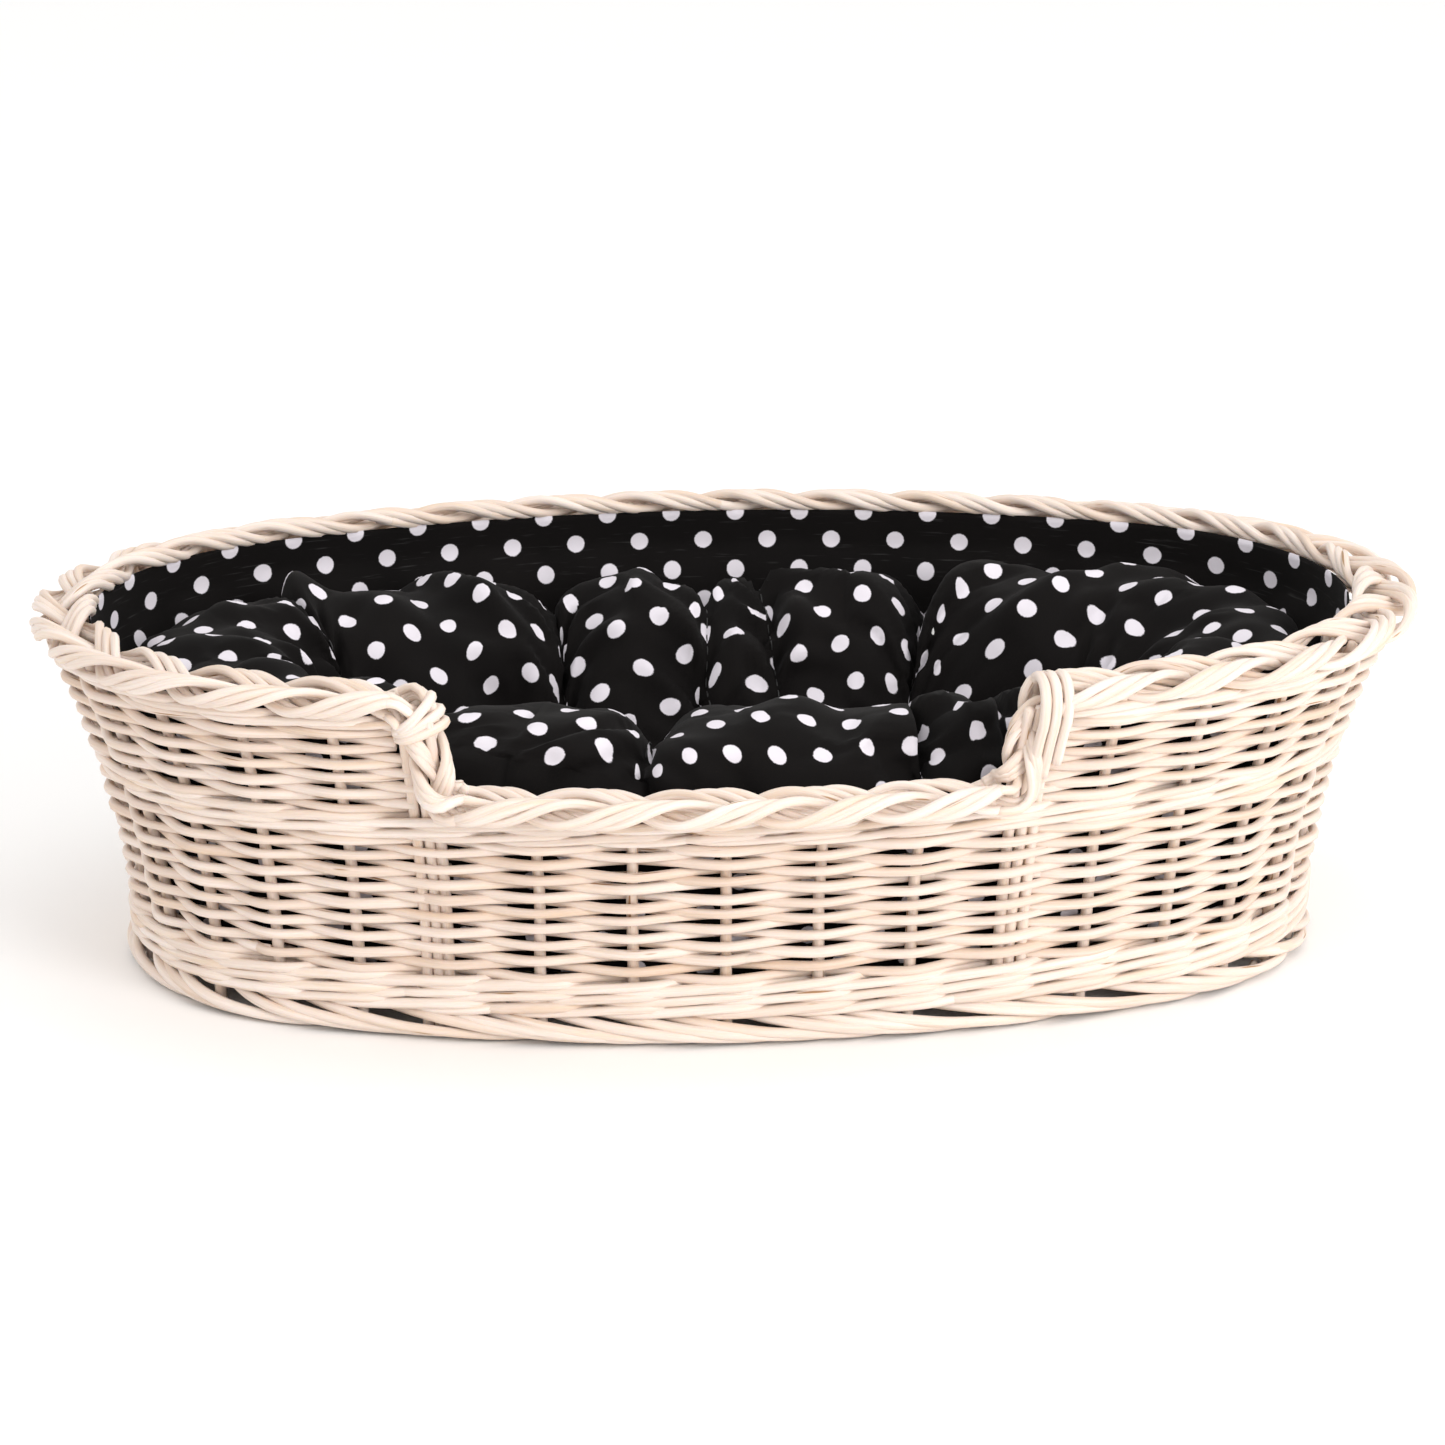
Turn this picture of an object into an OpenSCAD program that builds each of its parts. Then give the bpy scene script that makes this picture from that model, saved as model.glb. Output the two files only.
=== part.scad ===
// Oval willow pet basket: woven frame with an entry cut into its front wall,
// a sewn-in cloth lining and a loose nest cushion that lifts out.
// Millimetres. Z is up from the floor, X is the long way, and the entry faces -Y.

/* [Part] */
// Which piece to draw, or all of them

/* [Basket] */
// Length over the top border
basket_l = 700; // [500:10:1000]
// Depth over the top border, front to back
basket_w = 426; // [300:2:600]
// Height of the top border's crest
basket_h = 192; // [120:5:260]
// Radius of the oval's ends, at the top border's centre line
end_r = 163; // [100:1:200]
// How far the wall leans in at the floor, from the top border's centre line
foot_in = 36; // [10:1:60]
// Radius of the wall's outward curve, seen from the end
wall_r = 435; // [250:5:900]
// How far below the floor the wall's curve would stand upright
wall_drop = 9; // [0:1:40]

/* [Rods] */
// Number of side stakes
stake_count = 36; // [24:1:48]
// Side stake diameter
stake_d = 6; // [4:0.5:9]
// Base stick diameter
stick_d = 8; // [6:0.5:12]
// Thickness of the plain weave
weave_t = 11; // [8:0.5:16]
// Height of one row of the plain weave
row_h = 4.4; // [3:0.1:7]
// Thickness of a waled band
wale_t = 14; // [10:0.5:20]
// Height of one round of waling
wale_h = 6.2; // [4:0.1:9]
// Radius of one strand of a plaited border
strand_r = 6.5; // [4:0.5:9]
// Spacing of the three strands
strand_gap = 11.5; // [8:0.5:16]
// Outward tilt of the plaited borders
border_tilt = 20; // [0:1:40]

/* [Entry] */
// Middle of the entry, to the right of the basket's middle
entry_x = -12; // [-60:1:60]
// Half the entry's width at its low border
entry_low = 139; // [90:1:170]
// Half the entry's width at the top border
entry_high = 151; // [100:1:200]
// Height of the low border's centre line
entry_z = 132; // [80:1:150]

/* [Cloth] */
// Lining thickness
lining_t = 1.6; // [0.8:0.2:3]
// Cushion height over the ring of pillows
cushion_h = 122; // [80:1:140]
// Width of the ring of pillows
ring_w = 90; // [60:1:110]
// Thickness of the cushion's middle
middle_t = 52; // [20:1:80]
// Number of pillows in the ring
pillow_count = 9; // [6:1:14]
// Depth of the stitched creases
crease_h = 24; // [10:1:40]
// Thickness of the ring's cover with its wadding
cover_t = 27; // [24:0.5:30]
// Thickness of the cover over the cushion's middle
middle_skin = 2; // [1:0.5:4]
// Gap that lets the cushion lift out
lift_gap = 2; // [1:0.5:5]

/* [Hidden] */

willow = [0.86, 0.77, 0.63];
pale_willow = [0.92, 0.85, 0.74];
cotton = [0.11, 0.1, 0.1];
lining_black = [0.16, 0.15, 0.15];
plain_black = [0.06, 0.06, 0.06];
thread = [0.85, 0.82, 0.8];
fibre = [0.93, 0.93, 0.92];

arc_fn = 240;
rod_fn = 32;
big = 2000;
// The four arcs of a ring are separate solids, a hair apart.
part_deg = 0.02;

// The top border's centre line is a four-centre oval.
border_out = strand_gap * cos(border_tilt) + strand_r;
border_up = strand_gap * sin(border_tilt) + strand_r;
rim_a = basket_l / 2 - border_out;
rim_b = basket_w / 2 - border_out;
rim_z = basket_h - border_up;
end_x = rim_a - end_r;
long_r = (end_x * end_x + rim_b * rim_b - end_r * end_r) / (2 * (rim_b - end_r));
long_y = long_r - rim_b;
turn = atan2(long_y, end_x);
span = 90 - turn;
deg = 180 / PI;
half_long = long_r * span / deg;
end_len = end_r * 2 * turn / deg;
lap = 4 * half_long + 2 * end_len;

// Levels of the bands, from the floor.
foot_h = 12;
lower_z = 15;
lower_top = lower_z + 3 * wale_h;
side_rows = round((entry_z - 2 * wale_h - border_up - lower_top) / row_h);
side_top = lower_top + side_rows * row_h;
step_top = side_top + 2 * wale_h;
top_wale_z = rim_z - wale_h - 7;
upper_rows = round((top_wale_z - step_top) / row_h);
floor_z = 25;
entry_out = wall_off(entry_z) + border_out - 5;
entry_top = entry_z + border_up;

// Cushion, as offsets from the top border's centre line.
cushion_z = floor_z + 0.4;
ring_rr = ring_w / 2;
ring_off = wall_off(cushion_z + 40) - weave_t / 2 - lining_t - 0.4 - lift_gap - ring_rr;
seam_z = cushion_z + 26;
pillow_lap = lap / pillow_count;

// Offset of the wall's middle from the top border's centre line, at height z.
function wall_off(z) = wall_r - foot_in - sqrt(wall_r * wall_r - pow(z + wall_drop, 2));

// Direction outward at distance s round the oval, counter-clockwise from the entry side's middle.
function heading(s) =
    s < 0 ? heading(s + lap) :
    s >= lap ? heading(s - lap) :
    s < half_long ? s / long_r * deg - 90 :
    s < half_long + end_len ? (s - half_long) / end_r * deg - turn :
    s < 3 * half_long + end_len ? turn + (s - half_long - end_len) / long_r * deg :
    s < 3 * half_long + 2 * end_len ? 180 - turn + (s - 3 * half_long - end_len) / end_r * deg :
    180 + turn + (s - 3 * half_long - 2 * end_len) / long_r * deg;

function on_end(h) = abs(h) <= turn || abs(h - 180) <= turn;
function centre(h) =
    abs(h) <= turn ? [end_x, 0] :
    abs(h - 180) <= turn ? [-end_x, 0] :
    h > turn && h < 180 ? [0, -long_y] : [0, long_y];
function reach(h) = on_end(h) ? end_r : long_r;
// Depth of the front side at x, at an offset from the top border's centre line.
function front_y(x, off) = long_y - sqrt(pow(long_r + off, 2) - x * x);

// Puts a piece at distance s round the oval, with its own X pointing outward.
module round_at(s) {
    h = heading(s);
    translate([centre(h)[0], centre(h)[1], 0])
        rotate([0, 0, h])
            translate([reach(h), 0, 0]) children();
}

// Sweeps a profile (x outward from the top border's centre line, y up) round one end.
module end_arc(side) {
    translate([side * end_x, 0, 0])
        rotate([0, 0, (side > 0 ? 0 : 180) - turn + part_deg])
            rotate_extrude(angle = 2 * (turn - part_deg), $fn = arc_fn)
                translate([end_r, 0]) children();
}

// Sweeps a profile along a long side, between two angles from that side's middle.
module long_arc(side, from, to) {
    translate([0, -side * long_y, 0])
        rotate([0, 0, side * 90 + from])
            rotate_extrude(angle = to - from, $fn = arc_fn) translate([long_r, 0]) children();
}

module all_round() {
    end_arc(1) children();
    end_arc(-1) children();
    long_arc(1, -span, span) children();
    long_arc(-1, -span, span) children();
}

// Flat oval at an offset from the top border's centre line.
module oval(off) {
    for (side = [-1, 1])
        translate([side * end_x, 0]) circle(r = end_r + off, $fn = arc_fn);
    intersection() {
        translate([0, -long_y]) circle(r = long_r + off, $fn = 256);
        translate([0, long_y]) circle(r = long_r + off, $fn = 256);
        square([2 * (end_x + (end_r + off) * cos(turn)), big], center = true);
    }
}

// Everything in the entry above height z, wider at the top.
module entry_gap(z, grow = 0) {
    rise = rim_z - entry_z;
    lean = (entry_high - entry_low) / rise;
    low = entry_low + grow + lean * (z - entry_z);
    high = entry_low + grow + lean * (basket_h + 20 - entry_z);
    translate([entry_x, -60, 0])
        rotate([90, 0, 0])
            linear_extrude(height = basket_w)
                polygon([[-low, z], [low, z], [high, basket_h + 20], [-high, basket_h + 20]]);
}

// Profile of a woven band: ridged on both faces, one ridge for each row.
module band(z, rows, h, t, dip) {
    outer = [for (i = [0:2 * rows]) [wall_off(z + i * h / 2) + t / 2 - (i % 2 == 0 ? dip : 0),
        z + i * h / 2]];
    inner = [for (i = [2 * rows:-1:0]) [wall_off(z + i * h / 2) - t / 2 + (i % 2 == 0 ? dip : 0),
        z + i * h / 2]];
    polygon(concat(outer, inner));
}

// Part of one strand's outline in a plaited border, as a list of points.
function lobe(x, from, to) = [for (u = [from:20:to]) [x + strand_r * cos(u), strand_r * sin(u)]];

// Profile of a plaited border: three strands side by side, the outer one lowest.
module plait_profile(off, z) {
    translate([off, z])
        rotate(-border_tilt)
            polygon(concat(lobe(strand_gap, -130, 130), lobe(0, 50, 130),
                lobe(-strand_gap, 50, 310), lobe(0, 230, 310)));
}

// One upright rod that follows the wall's curve, drawn at the top border's centre line.
module upright(z0, z1, d) {
    low = asin((z0 + wall_drop) / wall_r);
    high = asin((z1 + wall_drop) / wall_r);
    translate([wall_r - foot_in, 0, -wall_drop])
        rotate([90, 0, 0])
            rotate_extrude(angle = high - low, start = 180 - high, $fn = arc_fn)
                translate([wall_r, 0]) circle(d = d, $fn = rod_fn);
}

// Distance round the oval of stake number i, counted from the entry's middle.
function stake_s(i) = entry_x + i * lap / stake_count;

module base_sticks() {
    color(willow)
        translate([0, 0, 20])
            for (i = [-1.5:1:1.5])
                translate([0, i * 20, 0])
                    rotate([0, 90, 0])
                        cylinder(d = stick_d, h = 2 * (end_x + sqrt(pow(end_r - foot_in, 2)
                            - pow(i * 20, 2))), center = true, $fn = rod_fn);
    color(willow)
        translate([0, 0, 20])
            for (i = [-4:4])
                translate([i * 48, 0, 0])
                    rotate([90, 0, 0])
                        cylinder(d = stick_d - 1.2, h = -2 * front_y(i * 48, -foot_in),
                            center = true, $fn = rod_fn);
}

module base_weave() {
    color(willow)
        translate([0, 0, lower_z])
            linear_extrude(height = floor_z - lower_z)
                oval(wall_off(lower_z) - wale_t / 2 - 0.5);
}

module foot_border() {
    color(pale_willow)
        all_round()
            polygon([for (p = [[-8.5, 0], [8.5, 0], [9.5, 3.5], [8.5, 8], [5, foot_h],
                [-5, foot_h], [-8.5, 8], [-9.5, 3.5]]) p - [foot_in, 0]]);
}

module side_stakes() {
    color(willow)
        for (i = [4:stake_count - 4])
            round_at(stake_s(i)) upright(5, rim_z, stake_d);
    color(willow)
        for (i = [-2:2])
            round_at(stake_s(i)) upright(5, entry_z, stake_d);
}

module entry_post(side) {
    for (i = [0:2])
        round_at(stake_s(side * 3) + side * i * (stake_d + 0.6)) upright(5, rim_z, stake_d);
}

module entry_post_left() {
    color(pale_willow) entry_post(-1);
}

module entry_post_right() {
    color(pale_willow) entry_post(1);
}

module lower_wale() {
    color(pale_willow) all_round() band(lower_z, 3, wale_h, wale_t, 2.5);
}

module side_weave() {
    color(willow) all_round() band(lower_top, side_rows, row_h, weave_t, 2.2);
}

module step_wale() {
    color(pale_willow) all_round() band(side_top, 2, wale_h, wale_t, 2.5);
}

module upper_weave() {
    color(willow)
        difference() {
            all_round() band(step_top, upper_rows, (top_wale_z - step_top) / upper_rows, weave_t, 2.2);
            entry_gap(step_top - 5);
        }
}

module top_wale() {
    color(pale_willow)
        difference() {
            all_round() band(top_wale_z, 1, wale_h, wale_t, 2.5);
            entry_gap(top_wale_z - 5);
        }
}

module top_border() {
    color(pale_willow)
        difference() {
            all_round() plait_profile(0, rim_z);
            entry_gap(rim_z - 25, -5);
        }
}

module entry_border() {
    color(pale_willow)
        long_arc(-1, asin((entry_x - entry_low) / long_r), asin((entry_x + entry_low) / long_r))
            plait_profile(entry_out, entry_z);
}

// Short plait down one side of the entry, from the top border to the low border.
module entry_plait(side) {
    x0 = entry_x + side * (entry_low + 4);
    x1 = entry_x + side * (entry_high + 2);
    y0 = front_y(x0, entry_out - 4);
    y1 = front_y(x1, 0);
    rise = rim_z - entry_z;
    lean = atan2(x1 - x0, rise);
    back = atan2(y1 - y0, rise);
    translate([x0, y0, entry_z])
        rotate([-back, lean, 0])
            linear_extrude(height = rise / cos(lean) / cos(back)) {
                for (i = [-1:1])
                    translate([i * 7.5, 0]) circle(r = 5.5, $fn = rod_fn);
                square([15, 8.5], center = true);
            }
}

module entry_plait_left() {
    color(pale_willow) entry_plait(-1);
}

module entry_plait_right() {
    color(pale_willow) entry_plait(1);
}

// Two turned rods that bind a top corner of the entry.
module corner_wrap(side) {
    x = entry_x + side * (entry_high + 6);
    for (z = [rim_z - 24, rim_z - 14])
        translate([x, front_y(x, -3), z])
            rotate([0, side * 12, 0])
                rotate_extrude($fn = 96) translate([15, 0]) circle(r = 2.8, $fn = rod_fn);
}

module corner_wrap_left() {
    color(pale_willow) corner_wrap(-1);
}

module corner_wrap_right() {
    color(pale_willow) corner_wrap(1);
}

// Profile of the lining: it follows the inside of the wall.
module lining_profile(z0, z1, steps) {
    face = -weave_t / 2 - 0.3;
    outer = [for (i = [0:steps]) let (z = z0 + (z1 - z0) * i / steps) [wall_off(z) + face, z]];
    inner = [for (i = [steps:-1:0]) let (z = z0 + (z1 - z0) * i / steps)
        [wall_off(z) + face - lining_t, z]];
    polygon(concat(outer, inner));
}

module lining_wall() {
    low = lower_top + 0.5;
    color(lining_black)
        difference() {
            all_round() lining_profile(low, rim_z + 1, 8);
            entry_gap(entry_top - 8, -8);
        }
}

module lining_stitches() {
    z = rim_z - 8;
    off = wall_off(z) - weave_t / 2 - 0.3 - lining_t;
    color(thread)
        for (i = [4:stake_count - 5])
            round_at(stake_s(i + 0.5))
                translate([off, 0, z])
                    rotate([90, 0, 0]) cylinder(d = 1.4, h = 9, center = true, $fn = 16);
    front_z = entry_top - 16;
    color(thread)
        for (i = [-3:2])
            round_at(stake_s(i + 0.5))
                translate([wall_off(front_z) - weave_t / 2 - 0.3 - lining_t, 0, front_z])
                    rotate([90, 0, 0]) cylinder(d = 1.4, h = 9, center = true, $fn = 16);
}

// Section of the ring of pillows, drawn in by t: a rounded, upright loaf.
module ring_profile(t) {
    half_h = cushion_h / 2;
    polygon([for (u = [7.5:15:359])
        [ring_off + (ring_rr - t) * sign(cos(u)) * pow(abs(cos(u)), 0.8),
            cushion_z + half_h + (half_h - t) * sign(sin(u)) * pow(abs(sin(u)), 0.75)]]);
}

// Wedges that part the ring into pillows.
module creases() {
    for (i = [0:pillow_count - 1])
        round_at((i + 0.5) * pillow_lap)
            translate([ring_off + ring_rr + 5, 0, cushion_z + cushion_h])
                rotate([90, 0, -90])
                    linear_extrude(height = ring_w + 10)
                        polygon([[-11, 4], [-3, -crease_h * 0.75], [0, -crease_h],
                            [3, -crease_h * 0.75], [11, 4]]);
}

// The cover and its wadding, round the filling of the ring and of the middle.
module cushion_cover() {
    difference() {
        union() {
            all_round()
                difference() {
                    ring_profile(0);
                    ring_profile(cover_t);
                }
            translate([0, 0, cushion_z])
                linear_extrude(height = middle_t) oval(ring_off - ring_rr + 12);
        }
        translate([0, 0, cushion_z + middle_skin])
            linear_extrude(height = middle_t - 2 * middle_skin) oval(ring_off - ring_rr - 4);
        creases();
    }
}

module cushion_top() {
    color(cotton)
        intersection() {
            cushion_cover();
            translate([-big / 2, -big / 2, seam_z]) cube([big, big, big]);
        }
}

module cushion_base() {
    color(plain_black)
        intersection() {
            cushion_cover();
            translate([-big / 2, -big / 2, seam_z - big]) cube([big, big, big]);
        }
}

module quilting_thread() {
    color(thread)
        for (i = [0:pillow_count - 1])
            round_at((i + 0.5) * pillow_lap)
                translate([ring_off, 0, cushion_z + cushion_h - crease_h + 0.5])
                    rotate([0, 90, 0])
                        cylinder(d = 1.6, h = ring_w * 0.55, center = true, $fn = 16);
}

module ring_filling() {
    color(fibre) all_round() ring_profile(cover_t + 0.3);
}

module centre_filling() {
    color(fibre)
        translate([0, 0, cushion_z + middle_skin + 0.3])
            linear_extrude(height = middle_t - 2 * middle_skin - 0.6)
                oval(ring_off - ring_rr - 4.3);
}

base_sticks();
base_weave();
foot_border();
side_stakes();
entry_post_left();
entry_post_right();
lower_wale();
side_weave();
step_wale();
upper_weave();
top_wale();
top_border();
entry_border();
entry_plait_left();
entry_plait_right();
corner_wrap_left();
corner_wrap_right();
lining_wall();
lining_stitches();
cushion_top();
cushion_base();
quilting_thread();
ring_filling();
centre_filling();
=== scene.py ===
# %% [markdown]
# # An oval willow pet basket, rod by rod
# This lesson dresses a plain CAD model of a basket as the woven thing it stands for. The CAD
# model fixes every size, and it is opened first, so nothing made later can drift away from it.
# The measured box is kept now and printed.

# %% Open the imported model
import math
import bpy
import numpy as np
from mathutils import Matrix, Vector


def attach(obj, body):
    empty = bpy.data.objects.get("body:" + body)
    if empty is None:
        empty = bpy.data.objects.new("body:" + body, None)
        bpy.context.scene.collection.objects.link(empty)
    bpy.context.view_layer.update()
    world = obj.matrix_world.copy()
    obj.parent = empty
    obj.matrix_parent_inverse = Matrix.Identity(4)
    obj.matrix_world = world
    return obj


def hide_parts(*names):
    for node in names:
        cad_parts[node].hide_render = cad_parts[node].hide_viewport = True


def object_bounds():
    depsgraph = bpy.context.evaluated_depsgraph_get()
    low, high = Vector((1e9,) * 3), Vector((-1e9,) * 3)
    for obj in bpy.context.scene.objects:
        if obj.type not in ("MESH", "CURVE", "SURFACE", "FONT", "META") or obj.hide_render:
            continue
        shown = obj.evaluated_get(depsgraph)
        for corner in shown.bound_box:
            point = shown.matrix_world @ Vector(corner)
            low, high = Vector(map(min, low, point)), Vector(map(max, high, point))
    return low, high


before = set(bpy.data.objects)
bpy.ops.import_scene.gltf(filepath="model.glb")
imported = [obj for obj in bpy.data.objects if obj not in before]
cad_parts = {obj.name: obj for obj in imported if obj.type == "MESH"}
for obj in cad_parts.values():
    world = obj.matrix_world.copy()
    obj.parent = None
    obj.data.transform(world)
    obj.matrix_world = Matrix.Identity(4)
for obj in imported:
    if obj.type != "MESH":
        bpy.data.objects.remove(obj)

cad_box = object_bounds()
print("CAD box", [tuple(round(v, 3) for v in corner) for corner in cad_box])

# %% [markdown]
# ## The camera and the room
# A long lens from two and a half metres away keeps the oval from looking stretched. The camera
# stands a little to the left of the entry and looks down by about 17 degrees. The floor is pale
# and plain, and the light is a big soft one from the right with a weaker one from the left.

# %% Camera
CAMERA_AWAY = 2.5
CAMERA_UP = 0.306
CAMERA_LEFT = 0.083
AIM = (0.0, 0.0, 0.1135)

scene = bpy.context.scene
camera = bpy.data.objects.new("Camera", bpy.data.cameras.new("Camera"))
scene.collection.objects.link(camera)
camera.location = (
    AIM[0] - CAMERA_AWAY * math.cos(CAMERA_UP) * math.sin(CAMERA_LEFT),
    AIM[1] - CAMERA_AWAY * math.cos(CAMERA_UP) * math.cos(CAMERA_LEFT),
    AIM[2] + CAMERA_AWAY * math.sin(CAMERA_UP),
)
camera.rotation_euler = (math.pi / 2 - CAMERA_UP, 0.0, -CAMERA_LEFT)
camera.data.sensor_width = 36.0
camera.data.lens = 121.3
camera.data.clip_end = 60.0
scene.camera = camera
scene.view_settings.view_transform = "Standard"
print("camera", tuple(round(v, 3) for v in camera.location))


# %% Floor, lights and backdrop
def soft_light(name, where, size, watts, colour):
    lamp = bpy.data.lights.new(name, "AREA")
    lamp.shape = "DISK"
    lamp.size = size
    lamp.energy = watts
    lamp.color = colour
    holder = bpy.data.objects.new(name, lamp)
    holder.location = where
    aim = np.array([0.0, 0.0, 0.1]) - np.array(where)
    holder.rotation_mode = "QUATERNION"
    holder.rotation_quaternion = Vector(aim).to_track_quat("-Z", "Y")
    scene.collection.objects.link(holder)
    return holder


soft_light("LightRight", (1.7, -2.3, 1.3), 1.5, 44.0, (1.0, 0.985, 0.965))
soft_light("LightLeft", (-2.4, -1.8, 1.4), 1.8, 1.5, (1.0, 0.96, 0.93))
soft_light("LightTop", (0.2, -0.4, 2.6), 2.0, 7.0, (1.0, 1.0, 1.0))

world = bpy.data.worlds.new("Room")
scene.world = world
world.use_nodes = True
world.node_tree.nodes["Background"].inputs["Color"].default_value = (1.0, 0.99, 0.98, 1.0)
world.node_tree.nodes["Background"].inputs["Strength"].default_value = 1.0


def plain_floor(half):
    mesh = bpy.data.meshes.new("Floor")
    mesh.from_pydata([(-half, -half, 0), (half, -half, 0), (half, half, 0), (-half, half, 0)],
                     [], [(0, 1, 2, 3)])
    floor = bpy.data.objects.new("Floor", mesh)
    scene.collection.objects.link(floor)
    paint = bpy.data.materials.new("FloorPaint")
    paint.use_nodes = True
    shader = paint.node_tree.nodes["Principled BSDF"]
    shader.inputs["Base Color"].default_value = (0.97, 0.97, 0.97, 1.0)
    shader.inputs["Roughness"].default_value = 0.7
    mesh.materials.append(paint)
    return floor


plain_floor(20.0)
print("lights and floor placed")

# %% [markdown]
# ## The oval that everything follows
# A basketmaker's oval is four arcs: two tight ones at the ends and two long ones at the sides.
# Every piece below is laid out by three numbers: how far round the oval it is, how far it stands
# out from the top border's centre line, and its height. One function turns those into a place.

# %% Sizes of the basket
LENGTH = cad_box[1][0] - cad_box[0][0]
DEPTH = cad_box[1][1] - cad_box[0][1]
CREST = cad_box[1][2]
STRAND = 0.0065
STRAND_GAP = 0.0115
TILT = math.radians(20)
BORDER_OUT = STRAND_GAP * math.cos(TILT) + STRAND
BORDER_UP = STRAND_GAP * math.sin(TILT) + STRAND
END_R = 0.163
RIM_A = LENGTH / 2 - BORDER_OUT
RIM_B = DEPTH / 2 - BORDER_OUT
RIM_Z = CREST - BORDER_UP
END_X = RIM_A - END_R
LONG_R = (END_X**2 + RIM_B**2 - END_R**2) / (2 * (RIM_B - END_R))
LONG_Y = LONG_R - RIM_B
TURN = math.atan2(LONG_Y, END_X)
HALF_LONG = LONG_R * (math.pi / 2 - TURN)
END_LEN = END_R * 2 * TURN
LAP = 4 * HALF_LONG + 2 * END_LEN
STAKES = 36
PITCH = LAP / STAKES
ENTRY_X = -0.012
ENTRY_LOW = 0.139
ENTRY_HIGH = 0.151
ENTRY_Z = 0.132
print("once round the rim", round(LAP, 3), "m, stakes every", round(PITCH * 1000, 1), "mm")

# %% Places round the oval
LEG_START = np.array([0, HALF_LONG, HALF_LONG + END_LEN, 3 * HALF_LONG + END_LEN,
                      3 * HALF_LONG + 2 * END_LEN])
LEG_R = np.array([LONG_R, END_R, LONG_R, END_R, LONG_R])
LEG_TURN = np.array([-math.pi / 2, -TURN, TURN, math.pi - TURN, math.pi + TURN])
LEG_X = np.array([0, END_X, 0, -END_X, 0])
LEG_Y = np.array([LONG_Y, 0, -LONG_Y, 0, LONG_Y])


def heading(s):
    s = np.mod(s, LAP)
    leg = np.searchsorted(LEG_START, s, side="right") - 1
    return leg, LEG_TURN[leg] + (s - LEG_START[leg]) / LEG_R[leg]


def place(s, out, z):
    """Points at s metres round the oval, out metres beyond the rim line and z metres up."""
    s, out, z = np.broadcast_arrays(np.asarray(s, float), out, z)
    leg, turn = heading(s)
    r = LEG_R[leg] + out
    return np.stack([LEG_X[leg] + r * np.cos(turn), LEG_Y[leg] + r * np.sin(turn), z], -1)


def outward(s):
    turn = heading(np.asarray(s, float))[1]
    return np.stack([np.cos(turn), np.sin(turn), np.zeros_like(turn)], -1)


def how_far_out(p):
    """How far points stand out from the rim line, negative inside it."""
    x, y = np.abs(p[:, 0]), np.abs(p[:, 1])
    at_end = np.arctan2(y, x - END_X) <= TURN
    return np.where(at_end, np.hypot(x - END_X, y) - END_R, np.hypot(x, y + LONG_Y) - LONG_R)


WALL_R = 0.435
FOOT_IN = 0.036
WALL_DROP = 0.009


def wall_out(z):
    """The wall leans outward in a slow curve: where its middle is at each height."""
    return WALL_R - FOOT_IN - np.sqrt(WALL_R**2 - (np.asarray(z) + WALL_DROP) ** 2)


def stake_s(i):
    return ENTRY_X + i * PITCH


print("wall leans out", round(float(wall_out(RIM_Z) - wall_out(0.0)) * 1000, 1), "mm")

# %% [markdown]
# ## Willow rods
# A willow rod is round, tapers from butt to tip and is never quite straight. Each one is swept as
# a tube along its own path. A frame is carried along the path from point to point, so the tube
# doesn't twist. Every point remembers how far along its rod it is and which rod it belongs to, so
# the grain can later run along each rod whatever way it bends.

# %% Sweep rods into one mesh
chance = np.random.default_rng(20)


def carried_frame(p):
    along = np.gradient(p, axis=0)
    along /= np.linalg.norm(along, axis=1)[:, None]
    guess = np.array([0.0, 0.0, 1.0]) if abs(along[0, 2]) < 0.8 else np.array([1.0, 0.0, 0.0])
    side = np.empty_like(p)
    v = np.cross(along[0], guess)
    for i, t in enumerate(along):
        v = v - t * float(np.dot(v, t))
        v = v / math.sqrt(float(np.dot(v, v)))
        side[i] = v
    return along, side, np.cross(along, side)


def wander(n, step, size, knots=0.09):
    """A slow random drift along n points that are step metres apart."""
    count = max(4, int(n * step / knots) + 3)
    return np.interp(np.arange(n) * step, np.arange(count) * knots, chance.normal(0, size, count))


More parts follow.
